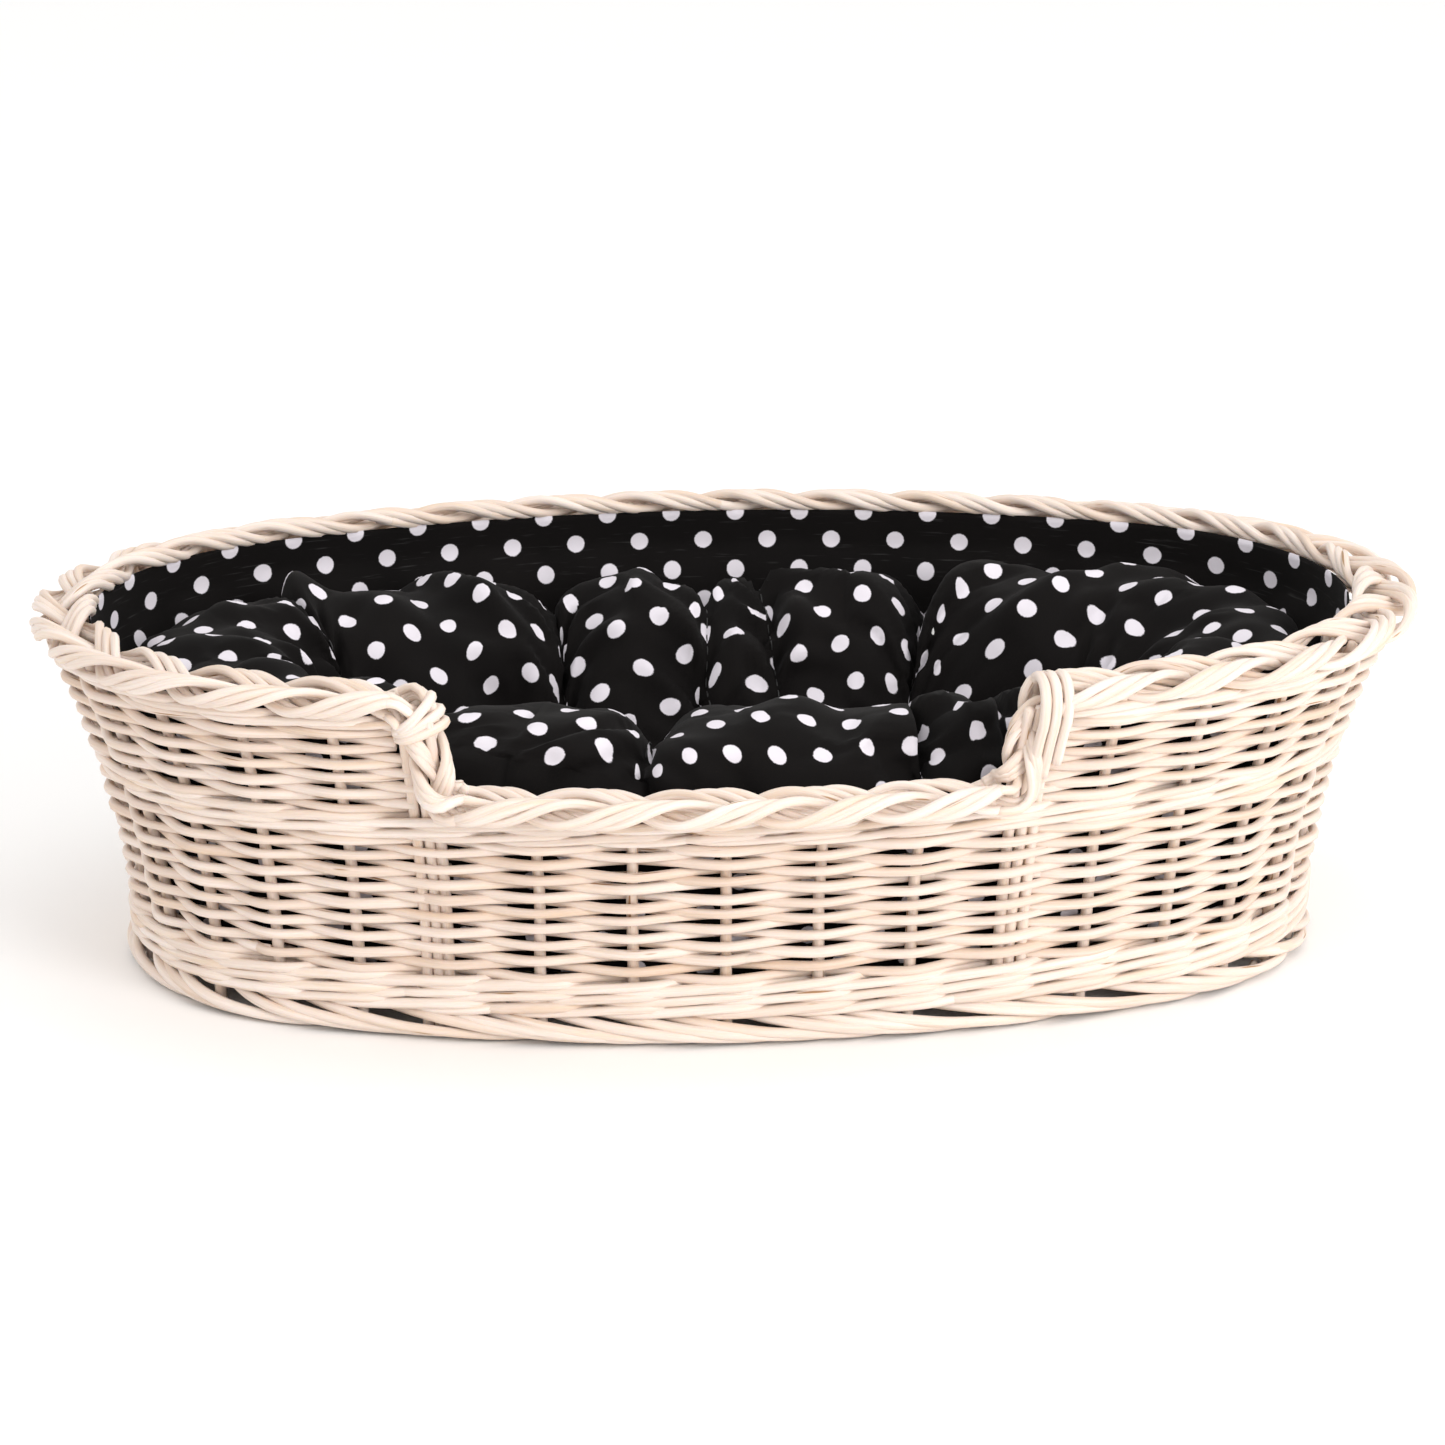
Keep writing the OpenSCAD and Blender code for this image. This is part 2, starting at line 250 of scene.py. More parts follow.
def sweep(name, rods, body="basket", sides=8):
    """rods is a list of (points, radii, tone). Makes one object of them all."""
    verts, faces, grain, tones = [], [], [], []
    base = 0
    ring = np.arange(sides)
    around = 2 * np.pi * ring / sides
    for points, radii, tone in rods:
        p = np.asarray(points, float)
        n = len(p)
        radii = np.broadcast_to(np.asarray(radii, float), (n,))
        along, side, up = carried_frame(p)
        dist = np.concatenate([[0], np.cumsum(np.linalg.norm(np.diff(p, axis=0), axis=1))])
        rim = (p[:, None] + radii[:, None, None] * (np.cos(around)[None, :, None] * side[:, None]
               + np.sin(around)[None, :, None] * up[:, None]))
        ends = np.stack([p[0] - along[0] * radii[0] * 0.35, p[-1] + along[-1] * radii[-1] * 0.35])
        verts.append(rim.reshape(-1, 3))
        verts.append(ends)
        start = chance.uniform(0, 50)
        g = np.empty((n, sides, 3))
        g[:, :, 0] = dist[:, None] + start
        g[:, :, 1] = np.cos(around)[None]
        g[:, :, 2] = np.sin(around)[None]
        grain.append(g.reshape(-1, 3))
        grain.append(np.array([[start, 0, 0], [start + dist[-1], 0, 0]]))
        tones.append(np.full(n * sides + 2, tone))
        i = np.arange(n - 1)[:, None] * sides
        j = np.roll(ring, -1)[None]
        a = base + i + ring[None]
        b = base + i + j
        faces.append(np.stack([a, b, b + sides, a + sides], -1).reshape(-1, 4))
        first, last = base + n * sides, base + n * sides + 1
        tip = base + (n - 1) * sides
        caps = [(base + int(j[0, k]), base + int(k), first) for k in ring]
        caps += [(tip + int(k), tip + int(j[0, k]), last) for k in ring]
        faces.append(caps)
        base += n * sides + 2
    mesh = bpy.data.meshes.new(name)
    flat = []
    for f in faces:
        flat.extend(f.tolist() if hasattr(f, "tolist") else f)
    mesh.from_pydata(np.concatenate(verts).tolist(), [], flat)
    mesh.shade_smooth()
    layer = mesh.attributes.new("grain", "FLOAT_VECTOR", "POINT")
    layer.data.foreach_set("vector", np.concatenate(grain).ravel())
    layer = mesh.attributes.new("tone", "FLOAT", "POINT")
    layer.data.foreach_set("value", np.concatenate(tones))
    piece = bpy.data.objects.new(name, mesh)
    scene.collection.objects.link(piece)
    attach(piece, body)
    print(name, len(rods), "rods,", len(mesh.vertices), "points")
    return piece


def cut_into_rods(points, inward, thick, thin, mean=0.75, step=0.005, tuck=0.0028):
    """Splits one long path into rods that overlap, each end tucked inward and tapered."""
    rods = []
    n = len(points)
    start = 0
    while start < n - 4:
        size = int(chance.uniform(0.75, 1.25) * mean / step)
        stop = min(n, start + size)
        if n - stop < 0.25 * mean / step:
            stop = n
        p = points[start:stop].copy()
        m = len(p)
        w = np.ones(m)
        edge = min(4, m // 3)
        fade = np.linspace(1, 0, edge)
        p[:edge] += inward[start:start + edge] * (tuck * fade)[:, None]
        p[m - edge:] += inward[stop - edge:stop] * (tuck * fade[::-1])[:, None]
        taper = (np.linspace(thick, thin, m) if chance.random() < 0.5
                 else np.linspace(thin, thick, m))
        w *= taper * (1 + wander(m, step, 0.035, 0.03))
        rods.append((p, w, float(np.clip(chance.normal(0.5, 0.2), 0, 1))))
        start = stop - int(0.02 / step)
        if stop == n:
            break
    return rods


print("rod tools ready")

# %% [markdown]
# ## Peeled willow
# Peeled willow is cream, with finer and darker streaks along the rod, a satin skin and now and
# then a brown nick where a twig grew. The streaks are noise stretched along the rod, read from
# the distance that each point remembered. Each rod has its own tone, so neighbours differ.


# %% Material tools
def material(name):
    made = bpy.data.materials.new(name)
    made.use_nodes = True
    tree = made.node_tree
    return made, tree, tree.nodes["Principled BSDF"]


def node(tree, kind, **settings):
    made = tree.nodes.new(kind)
    for key, value in settings.items():
        setattr(made, key, value)
    return made


def wire(tree, *pairs):
    for a, b in pairs:
        tree.links.new(a, b)


def ramp(tree, factor, stops):
    made = node(tree, "ShaderNodeValToRGB")
    bar = made.color_ramp
    while len(bar.elements) < len(stops):
        bar.elements.new(0.5)
    for element, (where, colour) in zip(bar.elements, stops):
        element.position = where
        element.color = (*colour, 1.0)
    wire(tree, (factor, made.inputs["Fac"]))
    return made.outputs["Color"]


def mixed(tree, kind, factor, a, b):
    made = node(tree, "ShaderNodeMix", data_type="RGBA", blend_type=kind)
    for socket, value in ((made.inputs[0], factor), (made.inputs[6], a), (made.inputs[7], b)):
        if hasattr(value, "is_output"):
            wire(tree, (value, socket))
        else:
            socket.default_value = value
    return made.outputs[2]


def streaks(tree, where, stretch, detail=3.0, rough=0.55):
    squeezed = node(tree, "ShaderNodeMapping")
    squeezed.inputs["Scale"].default_value = stretch
    noise = node(tree, "ShaderNodeTexNoise")
    noise.inputs["Scale"].default_value = 1.0
    noise.inputs["Detail"].default_value = detail
    noise.inputs["Roughness"].default_value = rough
    wire(tree, (where, squeezed.inputs["Vector"]), (squeezed.outputs[0], noise.inputs["Vector"]))
    return noise.outputs["Fac"]


# %% Peeled willow
def peeled_willow(name, light, dark, nick):
    made, tree, shader = material(name)
    grain = node(tree, "ShaderNodeAttribute", attribute_name="grain").outputs["Vector"]
    tone = node(tree, "ShaderNodeAttribute", attribute_name="tone").outputs["Fac"]
    base = ramp(tree, tone, [(0.0, dark), (0.45, tuple((a + b) / 2 for a, b in zip(light, dark))),
                             (1.0, light)])
    long_streak = streaks(tree, grain, (22.0, 1.6, 1.6), 4.0)
    fine_streak = streaks(tree, grain, (90.0, 7.0, 7.0), 3.0)
    patches = streaks(tree, grain, (9.0, 0.5, 0.5), 2.0)
    shade = ramp(tree, long_streak, [(0.3, (0.87, 0.83, 0.78)), (0.55, (1, 1, 1)),
                                     (1.0, (1.03, 1.04, 1.05))])
    base = mixed(tree, "MULTIPLY", 0.75, base, shade)
    warm = ramp(tree, patches, [(0.52, (1, 1, 1)), (0.72, (0.95, 0.87, 0.76))])
    base = mixed(tree, "MULTIPLY", 0.8, base, warm)
    fine = ramp(tree, fine_streak, [(0.35, (0.92, 0.89, 0.85)), (0.6, (1, 1, 1))])
    base = mixed(tree, "MULTIPLY", 0.6, base, fine)
    nicks = streaks(tree, grain, (34.0, 1.1, 1.1), 0.0)
    spot = ramp(tree, nicks, [(0.79, (0, 0, 0)), (0.83, (1, 1, 1))])
    base = mixed(tree, "MIX", spot, base, (*nick, 1.0))
    wire(tree, (base, shader.inputs["Base Color"]))
    bump = node(tree, "ShaderNodeBump")
    bump.inputs["Strength"].default_value = 0.35
    bump.inputs["Distance"].default_value = 0.0006
    height = mixed(tree, "MIX", 0.5, long_streak, fine_streak)
    wire(tree, (height, bump.inputs["Height"]), (bump.outputs[0], shader.inputs["Normal"]))
    rough = node(tree, "ShaderNodeMapRange")
    rough.inputs["To Min"].default_value = 0.38
    rough.inputs["To Max"].default_value = 0.62
    wire(tree, (fine_streak, rough.inputs["Value"]), (rough.outputs[0], shader.inputs["Roughness"]))
    shader.inputs["Specular IOR Level"].default_value = 0.4
    shader.inputs["Subsurface Weight"].default_value = 0.15
    shader.inputs["Subsurface Radius"].default_value = (0.004, 0.0025, 0.0012)
    return made


weaver_willow = peeled_willow("WeaverWillow", (0.87, 0.765, 0.70), (0.74, 0.595, 0.50),
                              (0.36, 0.20, 0.10))
border_willow = peeled_willow("BorderWillow", (0.89, 0.795, 0.735), (0.78, 0.65, 0.565),
                              (0.42, 0.25, 0.13))
print("willow materials made")


def finish_willow(piece, skin, slot, *nodes):
    piece.data.materials.append(skin)
    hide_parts(*nodes)


# %% [markdown]
# ## The floor of the basket
# Four long sticks cross nine short ones, and thin rods go round them, over one and under the
# next. The cushion hides all this, but it shows when the basket is turned over.

# %% Base sticks and base weave
FLOOR_Z = 0.020


def reach_x(y, out):
    return END_X + math.sqrt((END_R + out) ** 2 - y * y)


def reach_y(x, out):
    return math.sqrt((LONG_R + out) ** 2 - x * x) - LONG_Y


sticks = []
for k in range(4):
    y = (k - 1.5) * 0.020
    x = np.linspace(-reach_x(y, -FOOT_IN), reach_x(y, -FOOT_IN), 60)
    sticks.append((np.stack([x, y + wander(60, 0.01, 0.0005), np.full(60, FLOOR_Z)], -1),
                   0.0040 + wander(60, 0.01, 0.00008), 0.4))
for k in range(-4, 5):
    x = k * 0.048
    y = np.linspace(-reach_y(x, -FOOT_IN), reach_y(x, -FOOT_IN), 40)
    sticks.append((np.stack([x + wander(40, 0.009, 0.0004), y, np.full(40, FLOOR_Z)], -1),
                   0.0034 + wander(40, 0.009, 0.00008), 0.35))
finish_willow(sweep("BaseSticks", sticks), weaver_willow, "willow", "base_sticks")

rounds = []
for k in range(22):
    out = float(wall_out(0.016)) - 0.0105 - 0.0052 * k
    s = np.arange(0, LAP, 0.006)
    lift = 0.0026 * np.cos(2 * np.pi * s / LAP * 20 + k * np.pi)
    rounds.append((place(s, out + wander(len(s), 0.006, 0.0002), FLOOR_Z + lift), 0.0024,
                   float(chance.uniform(0.2, 0.8))))
for k in range(-3, 4):
    x = np.linspace(-END_X - 0.02, END_X + 0.02, 70)
    lift = 0.0026 * np.cos(x / 0.048 * np.pi + k * np.pi)
    rounds.append((np.stack([x, np.full(70, k * 0.0112), FLOOR_Z + lift], -1), 0.0024, 0.5))
finish_willow(sweep("BaseWeave", rounds, sides=6), weaver_willow, "willow", "base_weave")

# %% [markdown]
# ## Stakes and entry posts
# The stakes are the uprights that the weave goes round. At each edge of the entry three of them
# stand side by side, because that edge takes the pull of every row that turns back there.


# %% Uprights
def upright(s, low, high, r, tone):
    z = np.linspace(low, high, 30)
    drift = wander(30, 0.006, 0.0005, 0.05)
    return place(s + drift, wall_out(z), z), np.linspace(r * 1.04, r * 0.9, 30), tone


def tone():
    return float(np.clip(chance.normal(0.45, 0.18), 0, 1))


sides = [upright(stake_s(i), 0.005, RIM_Z - 0.002, 0.0029, tone()) for i in range(4, STAKES - 3)]
sides += [upright(stake_s(i), 0.005, ENTRY_Z - 0.004, 0.0029, tone()) for i in range(-2, 3)]
finish_willow(sweep("SideStakes", sides), weaver_willow, "willow", "side_stakes")

for side, name in ((-1, "left"), (1, "right")):
    posts = [upright(stake_s(side * 3) + side * k * 0.0062, 0.005, RIM_Z - 0.006, 0.0029, tone())
             for k in range(3)]
    finish_willow(sweep("EntryPosts_" + name, posts), border_willow, "pale_willow",
                  "entry_post_" + name)

# %% [markdown]
# ## Plain weave
# Each row goes in front of one stake and behind the next, and the row above does the opposite.
# A stiff rod runs nearly straight from one stake to the next, so its path is a zigzag with rounded
# corners. The rows above and below squeeze it where they cross, between the stakes, and leave a
# small diamond of a gap beside each stake.

# %% Rows of plain weave
STEP = 0.005
WEAVE_SWING = 0.0056
INSIDE_SWING = 0.0046
ZIGZAG = 0.93
ROW = 0.0044
LOWER_Z = 0.015
WALE = 0.0062
LOWER_TOP = LOWER_Z + 3 * WALE
SIDE_ROWS = 17
SIDE_TOP = LOWER_TOP + SIDE_ROWS * ROW
STEP_TOP = SIDE_TOP + 2 * WALE
TOP_WALE_Z = RIM_Z - WALE - 0.007
UPPER_ROWS = 11


def entry_half(z):
    """Half the width of the entry at height z."""
    return ENTRY_LOW + (ENTRY_HIGH - ENTRY_LOW) * (z - ENTRY_Z) / (RIM_Z - ENTRY_Z)


def woven_row(z, row, s):
    phase = np.pi * ((s - ENTRY_X) / PITCH + row)
    swing = np.arcsin(ZIGZAG * np.cos(phase)) / math.asin(ZIGZAG)
    swing = np.where(swing > 0, WEAVE_SWING, INSIDE_SWING) * swing
    n = len(s)
    height = z + 0.0003 * np.sin(phase) + wander(n, STEP, 0.00055, 0.06)
    out = wall_out(z) + swing * (1 + wander(n, STEP, 0.04)) + wander(n, STEP, 0.0003)
    return place(s, out, height)


def weave_rows(rows, low, row_h, gap):
    rods = []
    for row in range(rows):
        z = low + (row + 0.5) * row_h
        if gap:
            half = entry_half(z) + 0.012
            s = np.arange(ENTRY_X + half, LAP + ENTRY_X - half, STEP)
        else:
            first = stake_s(2 * int(chance.integers(9, 30)) + row + 1)
            s = first + np.arange(0, LAP + 0.02, STEP)
        p = woven_row(z, row, s)
        thick = float(chance.uniform(0.0026, 0.00295))
        rods += cut_into_rods(p, -outward(s), thick, thick * 0.8)
    return rods


side_rods = weave_rows(SIDE_ROWS, LOWER_TOP, ROW, False)
finish_willow(sweep("SideWeave", side_rods), weaver_willow, "willow", "side_weave")
upper_rods = weave_rows(UPPER_ROWS, STEP_TOP, (TOP_WALE_Z - STEP_TOP) / UPPER_ROWS, True)
finish_willow(sweep("UpperWeave", upper_rods), weaver_willow, "willow", "upper_weave")


# %% [markdown]
# ## Waling
# Waling takes three rods at once, each in front of two stakes and behind one, and each rod
# passes over the other two. It makes a band like a flat rope that holds the wall's shape.

# %% Waled bands
def wale_rods(z, rounds, s0, s1, thick=0.003, rise=0.0019, swing=0.0054):
    rods = []
    for turn in range(rounds):
        for k in range(3):
            s = np.arange(s0, s1, STEP)
            phase = 2 * np.pi * ((s - ENTRY_X) / PITCH + k) / 3
            front = np.tanh(2.2 * (0.35 - np.cos(phase)))
            over = -np.sin(phase)
            n = len(s)
            height = (z + (turn + 0.5) * WALE + rise * over + wander(n, STEP, 0.0005, 0.07))
            out = wall_out(z + turn * WALE) + swing * front + 0.0012 * over
            rods += cut_into_rods(place(s, out, height), -outward(s), thick, thick * 0.8, 0.9)
    return rods


start = LAP * 0.47
finish_willow(sweep("LowerWale", wale_rods(LOWER_Z, 3, start, start + LAP + 0.03)),
              border_willow, "pale_willow", "lower_wale")
finish_willow(sweep("StepWale", wale_rods(SIDE_TOP, 2, start, start + LAP + 0.03, 0.0026)),
              border_willow, "pale_willow", "step_wale")
half = entry_half(TOP_WALE_Z) + 0.008
finish_willow(sweep("TopWale", wale_rods(TOP_WALE_Z, 1, ENTRY_X + half, LAP + ENTRY_X - half,
                                         0.0025)),
              border_willow, "pale_willow", "top_wale")

# %% [markdown]
# ## The foot border
# Each stake's lower end is bent to the side and laid round its neighbours like a strand of rope.
# So every rod starts inside the wall, comes out, runs down along the outside for two stakes and
# ends tucked underneath. Together they make the ring that stands on the floor.

# %% Foot border
FOOT_REACH = 2.9


def foot_rod(s0):
    n = 40
    u = np.linspace(0, 1, n)
    s = s0 + u * FOOT_REACH * PITCH
    lean = chance.normal(0, 5)
    turn = np.radians(np.interp(u, [0, 0.1, 0.3, 0.5, 0.8, 1],
                                [125, 95, 35, -10, -55, -110]) + lean)
    out = wall_out(0.006) + 0.0078 * np.cos(turn) + wander(n, 0.004, 0.0004)
    height = 0.0079 + 0.0048 * np.sin(turn) + 0.004 * np.exp(-((u / 0.12) ** 2))
    thick = float(chance.uniform(0.0027, 0.0031))
    return place(s, out, height), thick * np.interp(u, [0, 0.3, 1], [0.95, 1, 0.8]), tone()


foot_rods = [foot_rod(stake_s(i) + chance.normal(0, 0.004)) for i in range(STAKES)]
foot_rods += [foot_rod(stake_s(i + 0.4) + chance.normal(0, 0.004)) for i in range(0, STAKES, 2)]
finish_willow(sweep("FootBorder", foot_rods), border_willow, "pale_willow", "foot_border")

# %% [markdown]
# ## The plaited border
# The border is a three-strand plait, three rods to a strand. It runs along the rim, turns down
# at the entry, crosses it, and climbs back to the rim: one closed path. On the rim the plait
# lies nearly flat, tipped outward a little more at the back than at the front, and down the sides
# of the entry it turns to face outward.

# %% The border's path
BACK_SAG = 0.0035


def sag(s):
    """The far side of the rim stands a few millimetres lower than the front."""
    return BACK_SAG * np.clip(outward(s)[..., 1], 0, 1)


ENTRY_OUT = float(wall_out(ENTRY_Z)) + BORDER_OUT - 0.005
EDGE_SOFT = 7


def bulge(s):
    """The border was pulled out a little at the ends, more at the right."""
    x = outward(s)[..., 0]
    return 0.0065 * np.clip(x, 0, 1) ** 2 + 0.001 * np.clip(-x, 0, 1) ** 2


def border_path():
    s = np.linspace(0, LAP, 2400, endpoint=False)
    x = np.abs((s - ENTRY_X + LAP / 2) % LAP - LAP / 2)
    drop = np.clip((ENTRY_HIGH - x) / (ENTRY_HIGH - ENTRY_LOW), 0, 1)
    z = RIM_Z - sag(s) + (ENTRY_Z - RIM_Z) * drop
    out = bulge(s) * (1 - drop) + ENTRY_OUT * drop - 0.004 * np.sin(np.pi * drop)
    p = place(s, out, z)
    p = np.concatenate([p, p[:1]])
    far = np.concatenate([[0], np.cumsum(np.linalg.norm(np.diff(p, axis=0), axis=1))])
    total = far[-1]
    u = np.linspace(0, total, int(total / 0.001), endpoint=False)
    p = np.stack([np.interp(u, far, p[:, i]) for i in range(3)], -1)
    facing = np.interp(u, far, np.concatenate([np.sin(np.pi * drop) > 0.001, [False]]) * 1.0)
    for _ in range(3):
        for wide in (EDGE_SOFT, EDGE_SOFT + 4):
            kernel = np.ones(wide) / wide
            pad = wide
            p = np.stack([np.convolve(np.concatenate([p[-pad:, i], p[:, i], p[:pad, i]]), kernel,
                                      "same")[pad:-pad] for i in range(3)], -1)
            facing = np.convolve(np.concatenate([facing[-pad:], facing, facing[:pad]]), kernel,
                                 "same")[pad:-pad]
    return u, p, facing, total


border_u, border_p, border_facing, BORDER_LEN = border_path()
border_t = np.roll(border_p, -2, axis=0) - np.roll(border_p, 2, axis=0)
border_t /= np.linalg.norm(border_t, axis=1)[:, None]
flat_out = border_p.copy()
flat_out[:, 2] = 0
at_end = np.arctan2(np.abs(border_p[:, 1]), np.abs(border_p[:, 0]) - END_X) <= TURN
middle = np.where(at_end[:, None],
                  np.stack([np.sign(border_p[:, 0]) * END_X, 0 * at_end, 0 * at_end], -1),
                  np.stack([0 * at_end, -np.sign(border_p[:, 1]) * LONG_Y, 0 * at_end], -1))
flat_out -= middle
flat_out /= np.linalg.norm(flat_out, axis=1)[:, None]
edge = np.cross(flat_out, border_t)
edge /= np.linalg.norm(edge, axis=1)[:, None]
frontness = 0.5 - 0.5 * border_p[:, 1] / RIM_B
rim_tip = np.radians(22 - 26 * frontness)
tip_angle = rim_tip + (math.radians(58) - rim_tip) * border_facing
border_up = np.cos(tip_angle)[:, None] * edge + np.sin(tip_angle)[:, None] * flat_out
border_side = np.cross(border_t, border_up)
print("plaited border", round(BORDER_LEN, 3), "m long")


# %% Plait the border
def along_border(u):
    u = np.mod(u, BORDER_LEN)

    def read(a):
        return np.stack([np.interp(u, border_u, a[:, i], period=BORDER_LEN) for i in range(3)], -1)

    return read(border_p), read(border_t), read(border_side), read(border_up)


PLAITS = 12
PLAIT_HALF = 0.0146
PLAIT_RISE_BACK = 0.0036
PLAIT_RISE_FRONT = 0.0053
border_turns = np.cumsum(1 + 0.9 * border_facing)
border_turns *= 2 * np.pi * PLAITS / border_turns[-1]


def plait_rods(u0, u1, rod_r=0.0026):
    """Each strand swings across the border, coming up over its outer edge and down inside."""
    rods = []
    step = 0.003
    u = np.arange(u0, u1, step)
    n = len(u)
    lap = np.floor(u / BORDER_LEN)
    turns = np.interp(np.mod(u, BORDER_LEN), border_u, border_turns) + lap * 2 * np.pi * PLAITS
    narrow = 1 - 0.45 * np.interp(np.mod(u, BORDER_LEN), border_u, border_facing)
    rise = PLAIT_RISE_BACK + (PLAIT_RISE_FRONT - PLAIT_RISE_BACK) * np.interp(
        np.mod(u, BORDER_LEN), border_u, frontness)
    c, t, side, up = along_border(u)
    for strand in range(3):
        middle_turn = turns + 2 * np.pi * strand / 3
        for rod in (-1, 0, 1):
            phase = middle_turn + rod * (0.34 + 0.12 * np.sin(middle_turn) ** 2)
            phase = phase + wander(n, step, 0.045, 0.04)
            across = PLAIT_HALF * narrow * np.sin(phase)
            lift = -rise * np.sin(2 * phase) + wander(n, step, 0.0002, 0.04)
            p = c + side * across[:, None] + up * lift[:, None]
            rods += cut_into_rods(p, -side * np.sign(across)[:, None], rod_r, rod_r * 0.88, 0.8,
                                  step, 0.003)
    return rods


def border_at(x, rim):
    """Distance along the border where it stands at x on the front, on the rim or below it."""
    front = (border_p[:, 1] < 0) & ((border_p[:, 2] > RIM_Z - 0.004) == rim)
    return border_u[np.argmin(np.abs(border_p[:, 0] - x) + 10 * ~front)]


left_top = border_at(ENTRY_X - ENTRY_HIGH - 0.006, True)
left_low = border_at(ENTRY_X - ENTRY_LOW + 0.010, False)
right_low = border_at(ENTRY_X + ENTRY_LOW - 0.010, False)
right_top = border_at(ENTRY_X + ENTRY_HIGH + 0.006, True)
print("corners at", [round(float(v), 3) for v in (left_top, left_low, right_low, right_top)])


def stretch(u0, u1):
    return (u0, u1) if u1 > u0 else (u0, u1 + BORDER_LEN)


for name, cad, (u0, u1) in (
        ("TopBorder", "top_border", stretch(right_top, left_top)),
        ("EntryBorder", "entry_border", stretch(left_low, right_low)),
        ("EntryPlait_left", "entry_plait_left", stretch(left_top - 0.004, left_low + 0.004)),
        ("EntryPlait_right", "entry_plait_right", stretch(right_low - 0.004, right_top + 0.004))):
    finish_willow(sweep(name, plait_rods(u0, u1)), border_willow, "pale_willow", cad)

# %% [markdown]
# ## Corner wraps
# At the left corner of the entry, rods are wound round the plait below the rim to lock it. At the
# right corner the rods stand up the outside of the post and turn over the border instead.


# %% Wrap the corners
def wrap(u, tip, wide=0.0195, thick=0.0102):
    c, t, side, up = (v[0] for v in along_border(np.array([u])))
    a = np.linspace(0, 2 * np.pi, 44)[:-1]
    square = 0.8
    x = np.sign(np.cos(a)) * np.abs(np.cos(a)) ** square * wide
    y = np.sign(np.sin(a)) * np.abs(np.sin(a)) ** square * thick
    p = c + x[:, None] * side + y[:, None] * up + (x * tip)[:, None] * t
    p = np.concatenate([p, p[:3] - up * 0.002])
    return p, 0.0026, tone()


left_wraps = [wrap(left_top + d, tip, 0.0118, 0.0088) for d, tip in
              ((0.0115, 0.05), (0.0165, 0.02), (0.0215, 0.0))]


def hook(s, low, inside_low):
    """A rod end that stands up the outside of the post, turns over the border and goes down."""
    z = np.array([low, low + 0.02, 0.168, 0.180, 0.1885, 0.1905, 0.187, 0.178, inside_low])
    past = np.array([0.0088, 0.009, 0.0095, 0.0105, 0.006, -0.002, -0.0105, -0.013, -0.0125])
    out = np.where(z < 0.17, wall_out(z), wall_out(0.17)) + past
    lean = np.linspace(0, 0.004, len(z))
    smooth_at = np.linspace(0, len(z) - 1, 40)
    line = place(s + lean, out, z)
    p = np.stack([np.interp(smooth_at, np.arange(len(z)), line[:, i]) for i in range(3)], -1)
    for _ in range(6):
        p[1:-1] = (p[:-2] + 2 * p[1:-1] + p[2:]) / 4
    return p, 0.0027, tone()


right_wraps = [hook(ENTRY_X + ENTRY_HIGH + d, low, 0.168) for d, low in
               ((-0.004, 0.143), (0.0015, 0.139), (0.0075, 0.146))]
finish_willow(sweep("CornerWrap_left", left_wraps), border_willow, "pale_willow",
              "corner_wrap_left")
finish_willow(sweep("CornerWrap_right", right_wraps), border_willow, "pale_willow",
              "corner_wrap_right")

# %% [markdown]
# ## Dotted cotton
# The cloth is black cotton printed with pale dots, each row shifted by half a step. The dots are
# drawn from flat cloth coordinates, which every cloth piece carries as a UV map in metres, so
# they bend and wrinkle with the cloth. A fine crossed weave and a soft sheen finish it.

# %% Cotton materials
DOT_R = 0.0045
DOT_STEP = 0.034
DOT_ROW = 0.031


def dot_distance(tree, where, shift):
    """Distance in metres to the nearest dot of one of the two crossed grids."""
    moved = node(tree, "ShaderNodeVectorMath", operation="ADD")
    moved.inputs[1].default_value = shift
    cell = node(tree, "ShaderNodeVectorMath", operation="DIVIDE")
    cell.inputs[1].default_value = (DOT_STEP, DOT_ROW, 1.0)
    part = node(tree, "ShaderNodeVectorMath", operation="FRACTION")
    centred = node(tree, "ShaderNodeVectorMath", operation="SUBTRACT")
    centred.inputs[1].default_value = (0.5, 0.5, 0.0)
    sized = node(tree, "ShaderNodeVectorMath", operation="MULTIPLY")
    sized.inputs[1].default_value = (DOT_STEP, DOT_ROW, 0.0)
    far = node(tree, "ShaderNodeVectorMath", operation="LENGTH")
    wire(tree, (where, moved.inputs[0]), (moved.outputs[0], cell.inputs[0]),
         (cell.outputs[0], part.inputs[0]), (part.outputs[0], centred.inputs[0]),
         (centred.outputs[0], sized.inputs[0]), (sized.outputs[0], far.inputs[0]))
    return far.outputs["Value"]


